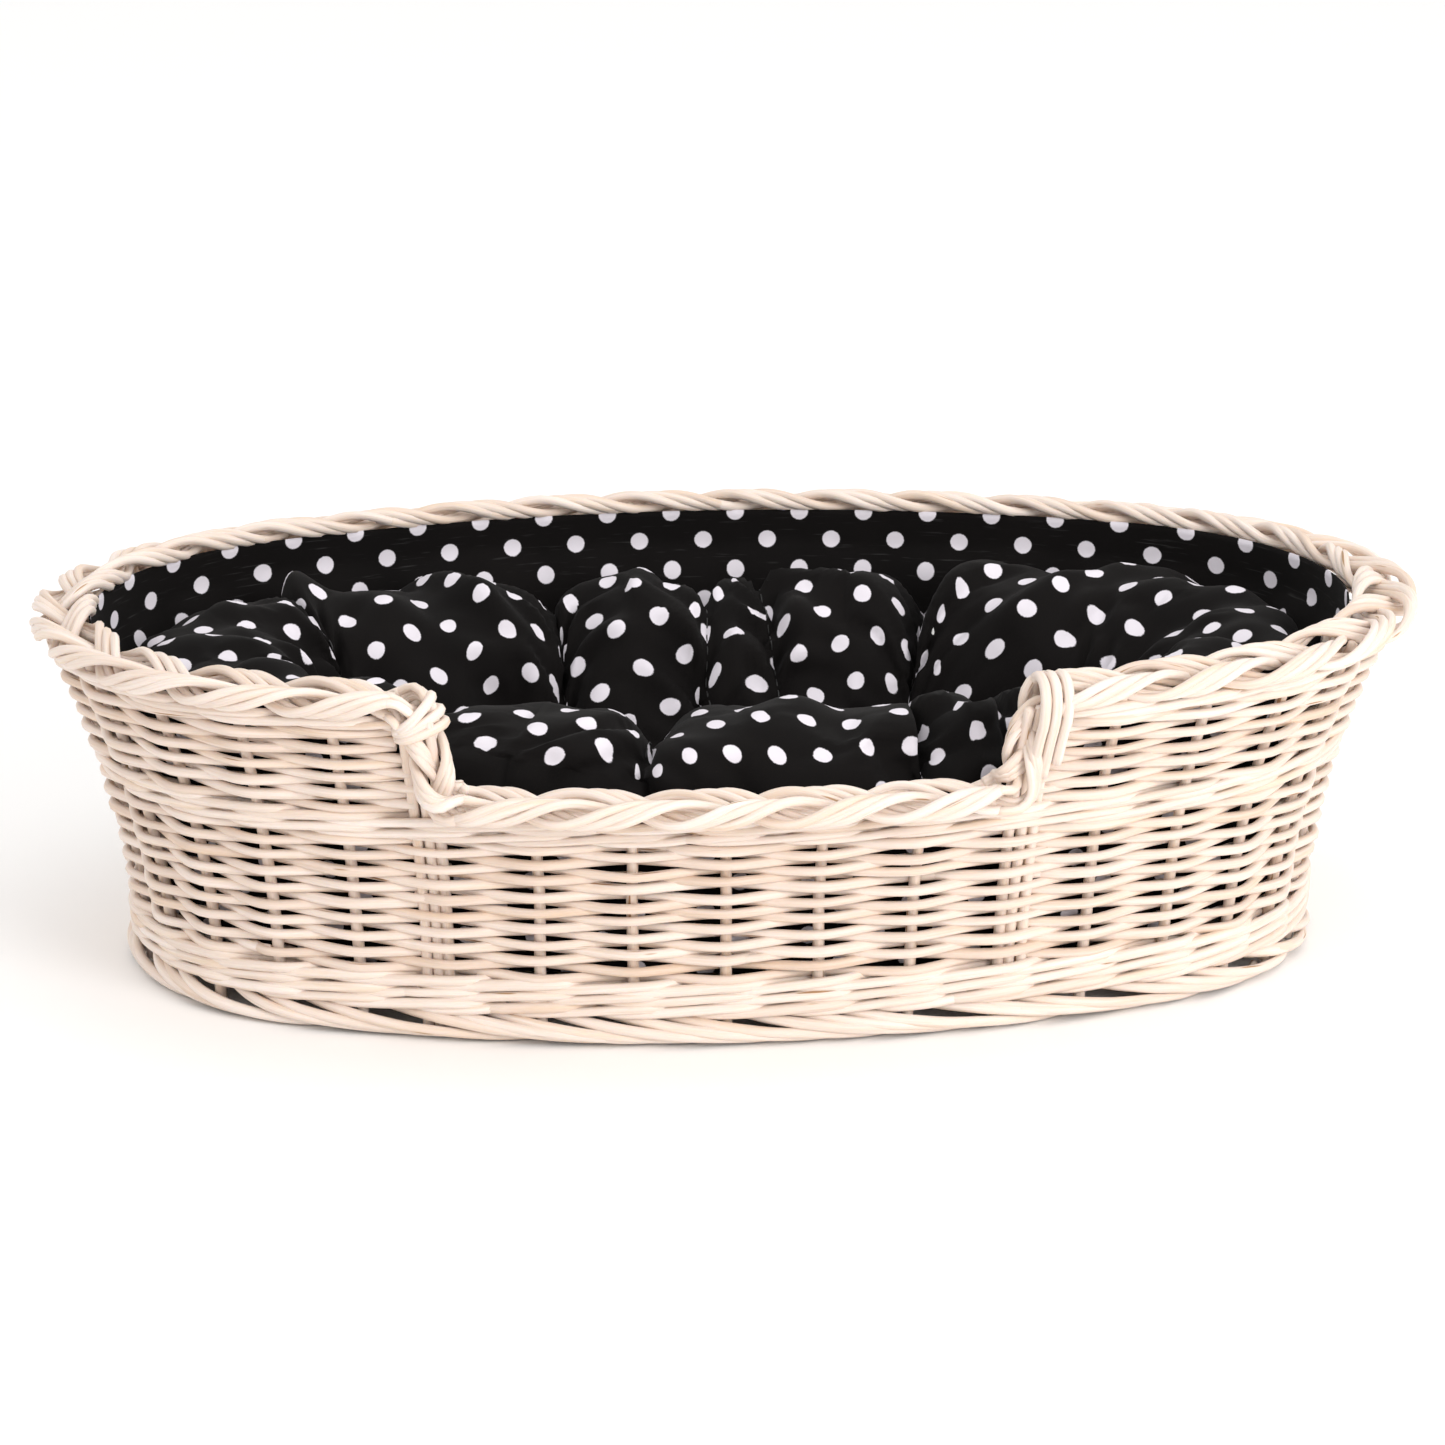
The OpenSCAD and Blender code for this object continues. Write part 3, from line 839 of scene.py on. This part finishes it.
def cotton(name, ground, dots, sheen, light_through_weave=0.0):
    made, tree, shader = material(name)
    where = node(tree, "ShaderNodeUVMap", uv_map="cloth").outputs["UV"]
    cloudy = streaks(tree, where, (14.0, 9.0, 9.0), 4.0)
    cloth = ramp(tree, cloudy, [(0.3, tuple(c * 0.75 for c in ground)),
                                (0.7, tuple(c * 1.35 for c in ground))])
    # Painted light: faint pale horizontal streaks added to the cloth's colour stand for light that
    # comes through the gaps of the willow behind the lining.
    if light_through_weave:
        painted_light_streak = streaks(tree, where, (35.0, 700.0, 1.0), 2.0, 0.7)
        pale = ramp(tree, painted_light_streak, [(0.62, (0, 0, 0)), (0.85, (light_through_weave,) * 3)])
        cloth = mixed(tree, "ADD", 1.0, cloth, pale)
    if dots:
        frayed = node(tree, "ShaderNodeTexNoise")
        frayed.inputs["Scale"].default_value = 1600.0
        wire(tree, (where, frayed.inputs["Vector"]))
        a = dot_distance(tree, where, (0.0, 0.0, 0.0))
        b = dot_distance(tree, where, (DOT_STEP / 2, DOT_ROW / 2, 0.0))
        near = node(tree, "ShaderNodeMath", operation="MINIMUM")
        rough_edge = node(tree, "ShaderNodeMath", operation="MULTIPLY_ADD")
        rough_edge.inputs[1].default_value = 0.0009
        inside = node(tree, "ShaderNodeMapRange")
        inside.inputs["From Min"].default_value = DOT_R + 0.0008
        inside.inputs["From Max"].default_value = DOT_R + 0.0003
        wire(tree, (a, near.inputs[0]), (b, near.inputs[1]),
             (frayed.outputs["Fac"], rough_edge.inputs[0]), (near.outputs[0], rough_edge.inputs[2]),
             (rough_edge.outputs[0], inside.inputs["Value"]))
        print_tone = ramp(tree, cloudy, [(0.3, tuple(c * 0.9 for c in dots)), (0.7, dots)])
        cloth = mixed(tree, "MIX", inside.outputs[0], cloth, print_tone)
    wire(tree, (cloth, shader.inputs["Base Color"]))
    shader.inputs["Roughness"].default_value = 0.82
    shader.inputs["Specular IOR Level"].default_value = 0.13
    shader.inputs["Sheen Weight"].default_value = sheen
    shader.inputs["Sheen Roughness"].default_value = 0.45
    threads = node(tree, "ShaderNodeTexWave", wave_type="BANDS", bands_direction="X")
    threads.inputs["Scale"].default_value = 520.0
    picks = node(tree, "ShaderNodeTexWave", wave_type="BANDS", bands_direction="Y")
    picks.inputs["Scale"].default_value = 520.0
    crossed = node(tree, "ShaderNodeMath", operation="MULTIPLY")
    bump = node(tree, "ShaderNodeBump")
    bump.inputs["Strength"].default_value = 0.25
    bump.inputs["Distance"].default_value = 0.0002
    wire(tree, (where, threads.inputs["Vector"]), (where, picks.inputs["Vector"]),
         (threads.outputs["Fac"], crossed.inputs[0]), (picks.outputs["Fac"], crossed.inputs[1]),
         (crossed.outputs[0], bump.inputs["Height"]), (bump.outputs[0], shader.inputs["Normal"]))
    return made


BLACK = (0.0032, 0.0024, 0.0023)
DOT_WHITE = (0.78, 0.74, 0.80)
dotted_cotton = cotton("DottedCotton", BLACK, DOT_WHITE, 0.025)
# The lining's last number sets the strength of its painted light streaks.
lining_cotton = cotton("LiningCotton", BLACK, DOT_WHITE, 0.02, 0.045)
plain_cotton = cotton("PlainCotton", (0.003, 0.0023, 0.0022), None, 0.025)
print("cottons made")


# %% Cloth as a grid
def grid_mesh(name, points, cloth, closed):
    """points is rows by columns by 3; cloth gives each face corner's flat place, in metres."""
    rows, columns = points.shape[:2]
    wrap_columns = columns if closed else columns - 1
    r, c = np.meshgrid(np.arange(rows - 1), np.arange(wrap_columns), indexing="ij")
    c2 = (c + 1) % columns
    faces = np.stack([r * columns + c, r * columns + c2, (r + 1) * columns + c2,
                      (r + 1) * columns + c], -1).reshape(-1, 4)
    mesh = bpy.data.meshes.new(name)
    mesh.from_pydata(points.reshape(-1, 3).tolist(), [], faces.tolist())
    mesh.shade_smooth()
    layer = mesh.uv_layers.new(name="cloth")
    corners = np.stack([cloth(r, c, 0), cloth(r, c, 1), cloth(r + 1, c, 1), cloth(r + 1, c, 0)],
                       -2).reshape(-1, 2)
    layer.data.foreach_set("uv", corners.ravel())
    return mesh


# %% [markdown]
# ## The lining
# The lining is a long strip of the dotted cotton that stands against the inside of the wall. It
# is sewn through the willow near its top with single stitches, and each stitch pulls the cloth
# into a small fold. The strip is laid out as a grid whose top edge follows the border.

# %% Lining
LINING_GAP = 0.0080
LINING_LOW = 0.034


def lining_top(s):
    x = np.abs((s - ENTRY_X + LAP / 2) % LAP - LAP / 2)
    drop = np.clip((ENTRY_HIGH + 0.004 - x) / (ENTRY_HIGH - ENTRY_LOW), 0, 1)
    return (RIM_Z - 0.001 - sag(s)) + (ENTRY_Z + 0.001 - RIM_Z) * drop


lining_columns = 1100
lining_s = np.linspace(0, LAP, lining_columns, endpoint=False)
lining_v = np.linspace(0, 1, 44)
top_z = lining_top(lining_s)
z = LINING_LOW + lining_v[:, None] * (top_z[None] - LINING_LOW)
below_top = top_z[None] - z
nearest = np.abs((lining_s - stake_s(0.5)) / PITCH - np.round((lining_s - stake_s(0.5)) / PITCH))
pull = (np.exp(-((nearest * PITCH / 0.007) ** 2))[None]
        * np.exp(-(((below_top - 0.012) / 0.012) ** 2)))
slack = np.stack([wander(lining_columns, LAP / lining_columns, 1.0, 0.035) for _ in range(6)])
rows_of_slack = np.stack([np.interp(lining_v, np.linspace(0, 1, 6), slack[:, c])
                          for c in range(lining_columns)], -1)
fade_ends = np.clip(below_top / 0.02, 0, 1)
out = (wall_out(z) - LINING_GAP - 0.0012 - 0.0011 * np.clip(rows_of_slack, -1, 2.2) * fade_ends
       + 0.0016 * pull - 0.0020 * np.exp(-((nearest * PITCH / 0.016) ** 2))[None]
       * np.exp(-(((below_top - 0.030) / 0.016) ** 2)))
out = np.minimum(out, np.where(top_z[None] > 0.15, -0.0125, out))
# At the entry the top edge turns outward to meet the low border.
at_entry = np.clip((0.15 - top_z) / 0.015, 0, 1)[None]
out = out + 0.0075 * at_entry * np.clip(1 - below_top / 0.009, 0, 1) ** 1.5
lining_points = place(np.broadcast_to(lining_s, z.shape), out, z)
lining_flat_s = np.concatenate([[0], np.cumsum(np.linalg.norm(np.diff(
    place(lining_s, -0.03, 0.0), axis=0), axis=1))])
lining_lap = float(lining_flat_s[-1] + lining_flat_s[1])


DOT_COLUMN = lining_flat_s[np.argmin(np.abs(lining_s - (LAP / 2 - 0.0042)))]
DOT_LINE = 0.1608


def lining_cloth(r, c, step):
    column = c + step
    along = np.where(column >= lining_columns, lining_lap, lining_flat_s[column % lining_columns])
    return np.stack([along - DOT_COLUMN, z[r, column % lining_columns] - DOT_LINE], -1)


lining_mesh = grid_mesh("LiningWall", lining_points, lining_cloth, True)
lining = bpy.data.objects.new("LiningWall", lining_mesh)
scene.collection.objects.link(lining)
thicken = lining.modifiers.new("Thickness", "SOLIDIFY")
thicken.thickness = 0.0008
thicken.offset = 0.0
lining_mesh.materials.append(lining_cotton)
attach(lining, "basket")
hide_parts("lining_wall")

# %% [markdown]
# The stitches are short pale threads. Each lies across the cloth and dips into it at both ends.


# %% Stitches
def stitch(s, depth, length=0.0085):
    n = 9
    top = float(lining_top(np.array([s]))[0])
    z_here = top - depth
    ss = s + np.linspace(-length / 2, length / 2, n) * (1 + 0.02 * chance.normal())
    dip = 0.0016 * (np.linspace(-1, 1, n) ** 4)
    slant = np.linspace(-1, 1, n) * chance.normal(0, 0.0008)
    return (place(ss, wall_out(z_here) - LINING_GAP - 0.0022 + dip + 0.0008, z_here + slant),
            0.00045, 0.8)


thread, thread_tree, thread_shader = material("SewingThread")
thread_twist = streaks(thread_tree, node(thread_tree, "ShaderNodeAttribute",
                                         attribute_name="grain").outputs["Vector"],
                       (900.0, 2.0, 2.0), 2.0)
wire(thread_tree, (ramp(thread_tree, thread_twist,
                        [(0.3, (0.5, 0.48, 0.46)), (0.6, (0.82, 0.8, 0.78))]),
                   thread_shader.inputs["Base Color"]))
thread_shader.inputs["Roughness"].default_value = 0.6
stitches = [stitch(stake_s(i + 0.5), 0.012) for i in range(4, STAKES - 4)]
stitches += [stitch(stake_s(i + 0.5), 0.010) for i in range(-2, 2)]
stitch_piece = sweep("LiningStitches", stitches, sides=6)
stitch_piece.data.materials.append(thread)
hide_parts("lining_stitches")

# %% [markdown]
# ## The nest cushion
# The cushion is one cover sewn into a ring of pillows by deep creases, round a thin middle. It is
# laid out as a grid: columns go round the ring, and rows go from the middle of the underside, out,
# up, over the pillows and down into the hollow. Two sections are drawn, one for the fattest part
# of a pillow and one for the bottom of a crease, and each column mixes them.

# %% Cushion layout
FAT = np.array([(-150, 26.5), (-110, 26.0), (-66, 26.5), (-54, 31), (-47, 42), (-42, 55), (-38, 75),
                (-35, 98), (-35, 122), (-43, 142), (-58, 153), (-77, 157), (-95, 153),
                (-111, 141), (-123, 123), (-132, 104), (-142, 89), (-154, 80)]) / 1000
CREASE = np.array([(-150, 26.5), (-112, 26.2), (-72, 27), (-60, 31), (-54, 40), (-50, 50),
                   (-48, 64),
                   (-47, 82), (-49, 101), (-56, 117), (-66, 126), (-79, 129), (-92, 125),
                   (-104, 114), (-114, 101), (-123, 89), (-136, 80), (-152, 75)]) / 1000
SEAM_ROW = 5
CREASE_PLACES = [(0.130, -0.110), (0.118, 0.115), (0.030, 0.125), (0.0, 0.125), (-0.078, 0.120),
                 (-0.235, 0.085), (-0.154, -0.110), (-0.046, -0.115), (0.084, -0.115)]
CREASE_DEPTH = [0.9, 1.0, 0.6, 0.7, 1.0, 0.8, 0.8, 1.0, 0.7]
PILLOW_TOPS = [0.157, 0.153, 0.148, 0.150, 0.157, 0.160, 0.153, 0.153, 0.147]
CREASE_WIDE = 0.042
COLUMNS = 480
FINE = 6


def rounded(control, count):
    """A smooth line through control points, by repeated corner cutting."""
    line = control
    for _ in range(2):
        mid = (line[:-1] * 0.25 + line[1:] * 0.75)
        low = (line[:-1] * 0.75 + line[1:] * 0.25)
        line = np.concatenate([line[:1], np.stack([low, mid], 1).reshape(-1, 2), line[-1:]])
    pick = np.linspace(0, len(line) - 1, count)
    return np.stack([np.interp(pick, np.arange(len(line)), line[:, i]) for i in range(2)], -1)


trial_s = np.linspace(0, LAP, 4000, endpoint=False)
trial = place(trial_s, -0.09, 0.0)[:, :2]
crease_s = np.array([trial_s[np.argmin(np.hypot(*(trial - np.array(xy)).T))]
                     for xy in CREASE_PLACES])
order = np.argsort(crease_s)
crease_s = crease_s[order]
crease_depth = np.array(CREASE_DEPTH)[order]
pillow_top = np.array(PILLOW_TOPS)[order]
print("creases at", [round(float(v), 3) for v in crease_s])

# %% Cushion rest shape
cushion_s = np.linspace(0, LAP, COLUMNS, endpoint=False) + crease_s[0]
section_rows = len(FAT) * FINE
fat = rounded(FAT, section_rows)
thin = rounded(CREASE, section_rows)
pillow = np.searchsorted(crease_s, np.mod(cushion_s, LAP), side="right") - 1
start_s = crease_s[pillow]
stop_s = np.where(pillow == len(crease_s) - 1, crease_s[0] + LAP,
                  np.roll(crease_s, -1)[pillow])
in_lap = np.where(cushion_s < start_s, cushion_s + LAP, cushion_s)
in_lap = np.where(in_lap >= stop_s, in_lap - LAP, in_lap)
to_start, to_stop = in_lap - start_s, stop_s - in_lap
wide = np.minimum(CREASE_WIDE, (stop_s - start_s) / 2)
near = np.minimum(to_start, to_stop)
depth_here = np.where(to_start < to_stop, crease_depth[pillow], np.roll(crease_depth, -1)[pillow])
q = np.clip(near / wide, 0, 1)
close = (1 - np.sqrt(np.clip(1 - (1 - q) ** 2, 0, 1))) * depth_here
top_here = pillow_top[pillow]
blend_top = np.interp(np.arange(COLUMNS * 3), np.arange(COLUMNS * 3), np.tile(top_here, 3))
kernel = np.ones(31) / 31
blend_top = np.convolve(blend_top, kernel, "same")[COLUMNS:2 * COLUMNS]
section = fat[:, None] * (1 - close)[None, :, None] + thin[:, None] * close[None, :, None]
high = np.clip((section[..., 1] - 0.05) / 0.1, 0, 1)
section[..., 1] += high * (blend_top - 0.157)[None] * (1 - close)[None]
slow = np.interp(cushion_s, np.linspace(0, 2 * LAP, 40), chance.normal(0, 0.003, 40))
section[..., 0] += high * slow[None]

# %% [markdown]
# Where the cover is gathered into a crease, small folds run away from it and fade out. A few long
# soft folds cross the pillows too, where the cloth is pulled from one crease to the next. Both
# push the section in or out along its own normal, before the air goes in.

# %% Gathers and long folds
step_out, step_up = np.gradient(section[..., 0], axis=0), np.gradient(section[..., 1], axis=0)
step_len = np.hypot(step_out, step_up) + 1e-9
normal_out, normal_up = -step_up / step_len, step_out / step_len
if np.mean(normal_up[FINE * 10:FINE * 12]) < 0:
    normal_out, normal_up = -normal_out, -normal_up
along_section = np.cumsum(step_len, axis=0)
GATHER_DEEP = 0.0038
GATHER_REACH = 0.036
fold_table = chance.normal(0, 1, (2 * len(crease_s), 60))
slants = chance.uniform(-0.5, 0.5, 2 * len(crease_s))
which = 2 * pillow + (to_start < to_stop)
push = np.zeros(section.shape[:2])
for k in range(2 * len(crease_s)):
    mine = np.nonzero(which == k)[0]
    if len(mine):
        where = along_section[:, mine] + slants[k] * near[mine][None]
        wave = np.interp(where, np.arange(60) * 0.0095, fold_table[k])
        push[:, mine] += np.clip(wave, -1.5, 1.5) * GATHER_DEEP * np.exp(-near[mine] / GATHER_REACH)
ring_len = cushion_s * 0.78
for heading_deg, length, size in ((25, 0.075, 0.0014), (-40, 0.052, 0.0012), (70, 0.090, 0.0013),
                                  (-10, 0.038, 0.0007), (50, 0.031, 0.0006)):
    angle = math.radians(heading_deg)
    wave = (ring_len[None] * math.cos(angle) + along_section * math.sin(angle)) / length
    push += size * np.sin(2 * np.pi * wave + chance.uniform(0, 6))
LONG_FOLDS = [(-0.25, 0.30, -0.15, 0.17, 0.007), (-0.27, 0.26, -0.20, 0.16, 0.006),
              (-0.10, 0.31, -0.16, 0.19, 0.006), (0.05, 0.30, 0.03, 0.20, 0.005),
              (0.16, 0.30, 0.24, 0.18, 0.006), (0.10, 0.29, 0.17, 0.20, 0.004),
              (-0.04, 0.28, -0.02, 0.19, 0.004), (0.20, 0.28, 0.26, 0.20, 0.005)]
for x0, v0, x1, v1, size in LONG_FOLDS:
    back_x = place(cushion_s, -0.09, 0.0)
    on_back = back_x[:, 1] > -0.02
    a = np.stack([np.broadcast_to(back_x[:, 0], push.shape), along_section], -1)
    d = np.array([x1 - x0, v1 - v0])
    u = np.clip(((a - [x0, v0]) @ d) / (d @ d), 0, 1)
    off = np.linalg.norm(a - [x0, v0] - u[..., None] * d, axis=-1)
    push += size * on_back[None] * np.exp(-((off / 0.009) ** 2)) * np.sin(np.pi * (0.15 + 0.7 * u))
free = np.clip((np.arange(section_rows) - 3 * FINE) / (2 * FINE), 0, 1)
push *= free[:, None]
section[..., 0] += normal_out * push
section[..., 1] += normal_up * push

# %% [markdown]
# On the front pillow left of the entry the cover has slipped round, so that the seam and the plain
# under-cover show above the border. The rows are shared out again there to carry the seam upward.

# %% Seam that climbs
seam_x = place(cushion_s, -0.05, 0.0)
climb = np.interp(seam_x[:, 0], [-0.24, -0.17, -0.14, -0.05, -0.02, 0.02],
                  [0, 0.8, 1, 0.8, 0.35, 0]) * (seam_x[:, 1] < 0)
seam_at = SEAM_ROW * FINE + climb * 5.0 * FINE
row_now = np.arange(section_rows)
for column in range(COLUMNS):
    shared = np.interp(row_now, [0, SEAM_ROW * FINE, section_rows - 1],
                       [0, seam_at[column], section_rows - 1])
    for axis in (0, 1):
        section[:, column, axis] = np.interp(shared, row_now, section[:, column, axis])
sway_at = chance.uniform(-0.17, 0.17, len(crease_s))
sway = np.interp(cushion_s, crease_s, sway_at, period=LAP)
swayed_s = cushion_s[None] + sway[None] * (along_section - along_section[11 * FINE][None])
ring = place(swayed_s, section[..., 0], section[..., 1])


def to_middle(edge, height, rows):
    """Rows that run from an edge to the cushion's middle line."""
    core = np.stack([np.clip(edge[:, 0], -END_X - 0.01, END_X + 0.01) * 0.96, edge[:, 1] * 0.04,
                     np.full(len(edge), height)], -1)
    t = np.linspace(0, 1, rows + 1)[1:, None, None]
    flat = edge[None] * (1 - t) + core[None] * t
    flat[..., 2] = edge[None, :, 2] * (1 - t[..., 0]) ** 2 + height * (1 - (1 - t[..., 0]) ** 2)
    return flat


under = to_middle(ring[0], 0.0262, 14)[::-1]
hollow = to_middle(ring[-1], 0.0755, 20)
hollow[..., 2] += 0.004 * np.sin(hollow[..., 0] * 38 + 1.0) * np.sin(hollow[..., 1] * 60)
cushion_points = np.concatenate([under, ring, hollow])
rows = len(cushion_points)
seam_row = len(under) + SEAM_ROW * FINE
print("cushion grid", rows, "by", COLUMNS)

# %% [markdown]
# The cloth's flat coordinates follow the crest line of each pillow and go straight out and in from
# it, so the dots stay round on the curves and jump only at the creases, as on cloth that was sewn.

# %% Cushion cloth coordinates
down = np.concatenate([np.zeros((1, COLUMNS)), np.cumsum(np.linalg.norm(
    np.diff(cushion_points, axis=0), axis=2), axis=0)])
crest_row = len(under) + int(11.2 * FINE)
down -= down[crest_row][None]
crest = cushion_points[crest_row]
crest_step = np.linalg.norm(np.roll(crest, -1, axis=0) - crest, axis=1)
outwards = outward(cushion_s)[:, :2]
tangent = np.stack([-outwards[:, 1], outwards[:, 0]], -1)
crest_line = np.concatenate([np.zeros((1, 2)), np.cumsum(tangent * crest_step[:, None], axis=0)])
patch_centre = np.array([int(np.median(np.nonzero(pillow == k)[0])) for k in range(len(crease_s))])
turned = chance.uniform(-0.6, 0.6, len(crease_s))
shifted = chance.uniform(0, DOT_STEP, (len(crease_s), 2))


def cushion_cloth(r, c, step):
    """Flat place of the cloth: along the pillow's crest line, then out or in from it."""
    patch = pillow[c]
    column = (c + step) % COLUMNS
    flat = crest_line[c + step] - crest_line[patch_centre[patch]]
    flat = flat - outwards[column] * down[r, column][..., None]
    turn = turned[patch]
    return np.stack([flat[..., 0] * np.cos(turn) - flat[..., 1] * np.sin(turn) + shifted[patch, 0],
                     flat[..., 0] * np.sin(turn) + flat[..., 1] * np.cos(turn) + shifted[patch, 1]],
                    -1)


cushion_mesh = grid_mesh("CushionWhole", cushion_points, cushion_cloth, True)
cushion = bpy.data.objects.new("CushionWhole", cushion_mesh)
scene.collection.objects.link(cushion)
print("cushion rest shape", len(cushion_mesh.vertices), "points")

# %% [markdown]
# ## Blow the pillows up
# The stitching is pinned and everything between is free cloth with air pushing out from inside.
# The cloth is a little too big for its shape, as a real cover is, so it puckers along the
# creases. How far a point may travel is capped, and the cushion is kept clear of the lining.

# %% Inflate the cushion
INFLATE_FRAMES = 20
MAX_TRAVEL = 0.009


def inflate(piece, sewn):
    group = piece.vertex_groups.new(name="sewn")
    for weight in np.unique(np.round(sewn, 1)):
        if weight > 0:
            group.add(np.nonzero(np.round(sewn, 1) == weight)[0].tolist(), float(weight), "REPLACE")
    cloth = piece.modifiers.new("Cloth", "CLOTH")
    settings = cloth.settings
    settings.quality = 6
    settings.mass = 0.25
    settings.tension_stiffness = 12
    settings.compression_stiffness = 12
    settings.shear_stiffness = 4
    settings.bending_stiffness = 0.25
    settings.tension_damping = 8
    settings.compression_damping = 8
    settings.air_damping = 2
    settings.vertex_group_mass = "sewn"
    settings.shrink_min = -0.06
    settings.use_pressure = True
    settings.uniform_pressure_force = 2.5
    settings.effector_weights.gravity = 0.0
    cloth.collision_settings.use_collision = False
    cloth.collision_settings.use_self_collision = False
    cloth.point_cache.frame_start = 1
    cloth.point_cache.frame_end = INFLATE_FRAMES
    scene.frame_start, scene.frame_end = 1, INFLATE_FRAMES
    for step in range(1, INFLATE_FRAMES + 1):
        scene.frame_set(step)
    depsgraph = bpy.context.evaluated_depsgraph_get()
    evaluated = piece.evaluated_get(depsgraph)
    n = len(piece.data.vertices)
    moved = np.empty(n * 3)
    evaluated.data.vertices.foreach_get("co", moved)
    piece.modifiers.remove(cloth)
    scene.frame_set(1)
    return moved.reshape(-1, 3)


row_of = np.repeat(np.arange(rows), COLUMNS)
column_of = np.tile(np.arange(COLUMNS), rows)
on_crease = (q < 0.02)[column_of] & (row_of > seam_row)
sewn = np.zeros(rows * COLUMNS)
sewn[row_of < len(under) + 2 * FINE] = 1.0
sewn[row_of == seam_row] = 0.6
sewn[on_crease] = 1.0
sewn[row_of >= rows - 14] = 1.0
rest = cushion_points.reshape(-1, 3)
blown = inflate(cushion, sewn)
travel = blown - rest
far = np.linalg.norm(travel, axis=1)
print("cloth travelled up to", round(float(far.max()) * 1000, 1), "mm")
travel *= (np.minimum(far, MAX_TRAVEL) / np.maximum(far, 1e-9))[:, None]
settled = rest + travel
crisp = np.zeros((rows, COLUMNS, 3))
crisp[len(under):len(under) + section_rows] = (
    normal_out[..., None] * outward(cushion_s)[None]
    + normal_up[..., None] * np.array([0, 0, 1.0])) * (0.45 * push)[..., None]
settled += crisp.reshape(-1, 3)

# %% Keep the cushion inside its space
CLEAR = 0.0120


def keep_inside(p):
    p = p.copy()
    p[:, 2] = np.maximum(p[:, 2], 0.0258)
    limit = wall_out(np.clip(p[:, 2], 0.02, 0.18)) - CLEAR
    over = np.maximum(how_far_out(p) - limit, 0)
    x, y = p[:, 0], p[:, 1]
    at_end = np.arctan2(np.abs(y), np.abs(x) - END_X) <= TURN
    mx = np.where(at_end, np.sign(x) * END_X, 0)
    my = np.where(at_end, 0, -np.sign(y) * LONG_Y)
    dx, dy = x - mx, y - my
    length = np.hypot(dx, dy)
    p[:, 0] -= dx / length * over
    p[:, 1] -= dy / length * over
    return p


settled = keep_inside(settled)
cushion_mesh.vertices.foreach_set("co", settled.ravel())
cushion_mesh.update()
print("cushion top at", round(float(settled[:, 2].max()) * 1000, 1), "mm")


# %% [markdown]
# The cover is cut in two along the seam: the dotted top and the plain under-cover. Both come from
# the same grid, so their edges meet exactly. The fibre filling is the same shape drawn inward.

# %% Split the cover at the seam
def part_of_cover(name, first, last, skin, slot, *nodes):
    keep = settled.reshape(rows, COLUMNS, 3)[first:last + 1]
    mesh = grid_mesh(name, keep, lambda r, c, step: cushion_cloth(r + first, c, step), True)
    piece = bpy.data.objects.new(name, mesh)
    scene.collection.objects.link(piece)
    mesh.materials.append(skin)
    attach(piece, "cushion")
    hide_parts(*nodes)
    print(name, len(mesh.vertices), "points")
    return piece


cushion_top = part_of_cover("CushionTop", seam_row, rows - 1, dotted_cotton, "dotted_cotton",
                            "cushion_top")
cushion_base = part_of_cover("CushionBase", 0, seam_row, plain_cotton, "plain_black_cotton",
                             "cushion_base")

# %% Filling
grid = settled.reshape(rows, COLUMNS, 3)
core = place(cushion_s, -0.086, 0.082)
ring_grid = grid[len(under):len(under) + section_rows:3]
ring_inside = core[None] + (ring_grid - core[None]) * 0.84
ring_inside = np.concatenate([ring_inside, ring_inside[:1]])
floor_part = np.concatenate([grid[:len(under):2], grid[len(under) + section_rows::3]])
centre_inside = floor_part * np.array([0.97, 0.95, 1.0])
centre_inside[..., 2] = 0.052 + (floor_part[..., 2] - 0.052) * 0.84


def filling_part(name, points, cad):
    mesh = grid_mesh(name, points, lambda r, c, step: np.stack([c * 0.01, r * 0.01], -1), True)
    piece = bpy.data.objects.new(name, mesh)
    scene.collection.objects.link(piece)
    fibre, tree, shader = material(name + "Fibre")
    where = node(tree, "ShaderNodeTexCoord").outputs["Object"]
    wire(tree, (ramp(tree, streaks(tree, where, (60.0, 60.0, 60.0), 5.0),
                     [(0.3, (0.78, 0.78, 0.77)), (0.7, (0.93, 0.93, 0.92))]),
                shader.inputs["Base Color"]))
    shader.inputs["Roughness"].default_value = 0.95
    mesh.materials.append(fibre)
    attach(piece, "cushion")
    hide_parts(cad)
    return piece


filling_part("RingFilling", ring_inside, "ring_filling")
filling_part("CentreFilling", centre_inside, "centre_filling")
bpy.data.objects.remove(cushion)

# %% [markdown]
# The creases are held by running stitches of dark thread along their floors.

# %% Quilting thread
quilting = []
for k, s in enumerate(crease_s):
    column = int(np.argmin(np.abs((cushion_s - s + LAP / 2) % LAP - LAP / 2)))
    line = grid[seam_row + 3 * FINE:rows - len(hollow) + 6, column]
    far = np.concatenate([[0], np.cumsum(np.linalg.norm(np.diff(line, axis=0), axis=1))])
    for d in np.arange(0.004, far[-1] - 0.008, 0.009):
        at = np.linspace(d, d + 0.0055, 5)
        p = np.stack([np.interp(at, far, line[:, i]) for i in range(3)], -1)
        p[:, 2] += 0.0006 * np.array([0.0, 0.8, 1.0, 0.8, 0.0]) - 0.0001
        quilting.append((p, 0.0004, 0.5))
quilt_piece = sweep("QuiltingThread", quilting, "cushion", sides=6)
dark_thread, dark_tree, dark_shader = material("DarkThread")
dark_twist = streaks(dark_tree, node(dark_tree, "ShaderNodeAttribute",
                                     attribute_name="grain").outputs["Vector"],
                     (900.0, 2.0, 2.0), 2.0)
wire(dark_tree, (ramp(dark_tree, dark_twist,
                      [(0.3, (0.008, 0.008, 0.008)), (0.7, (0.03, 0.03, 0.03))]),
                 dark_shader.inputs["Base Color"]))
dark_shader.inputs["Roughness"].default_value = 0.6
quilt_piece.data.materials.append(dark_thread)
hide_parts("quilting_thread")
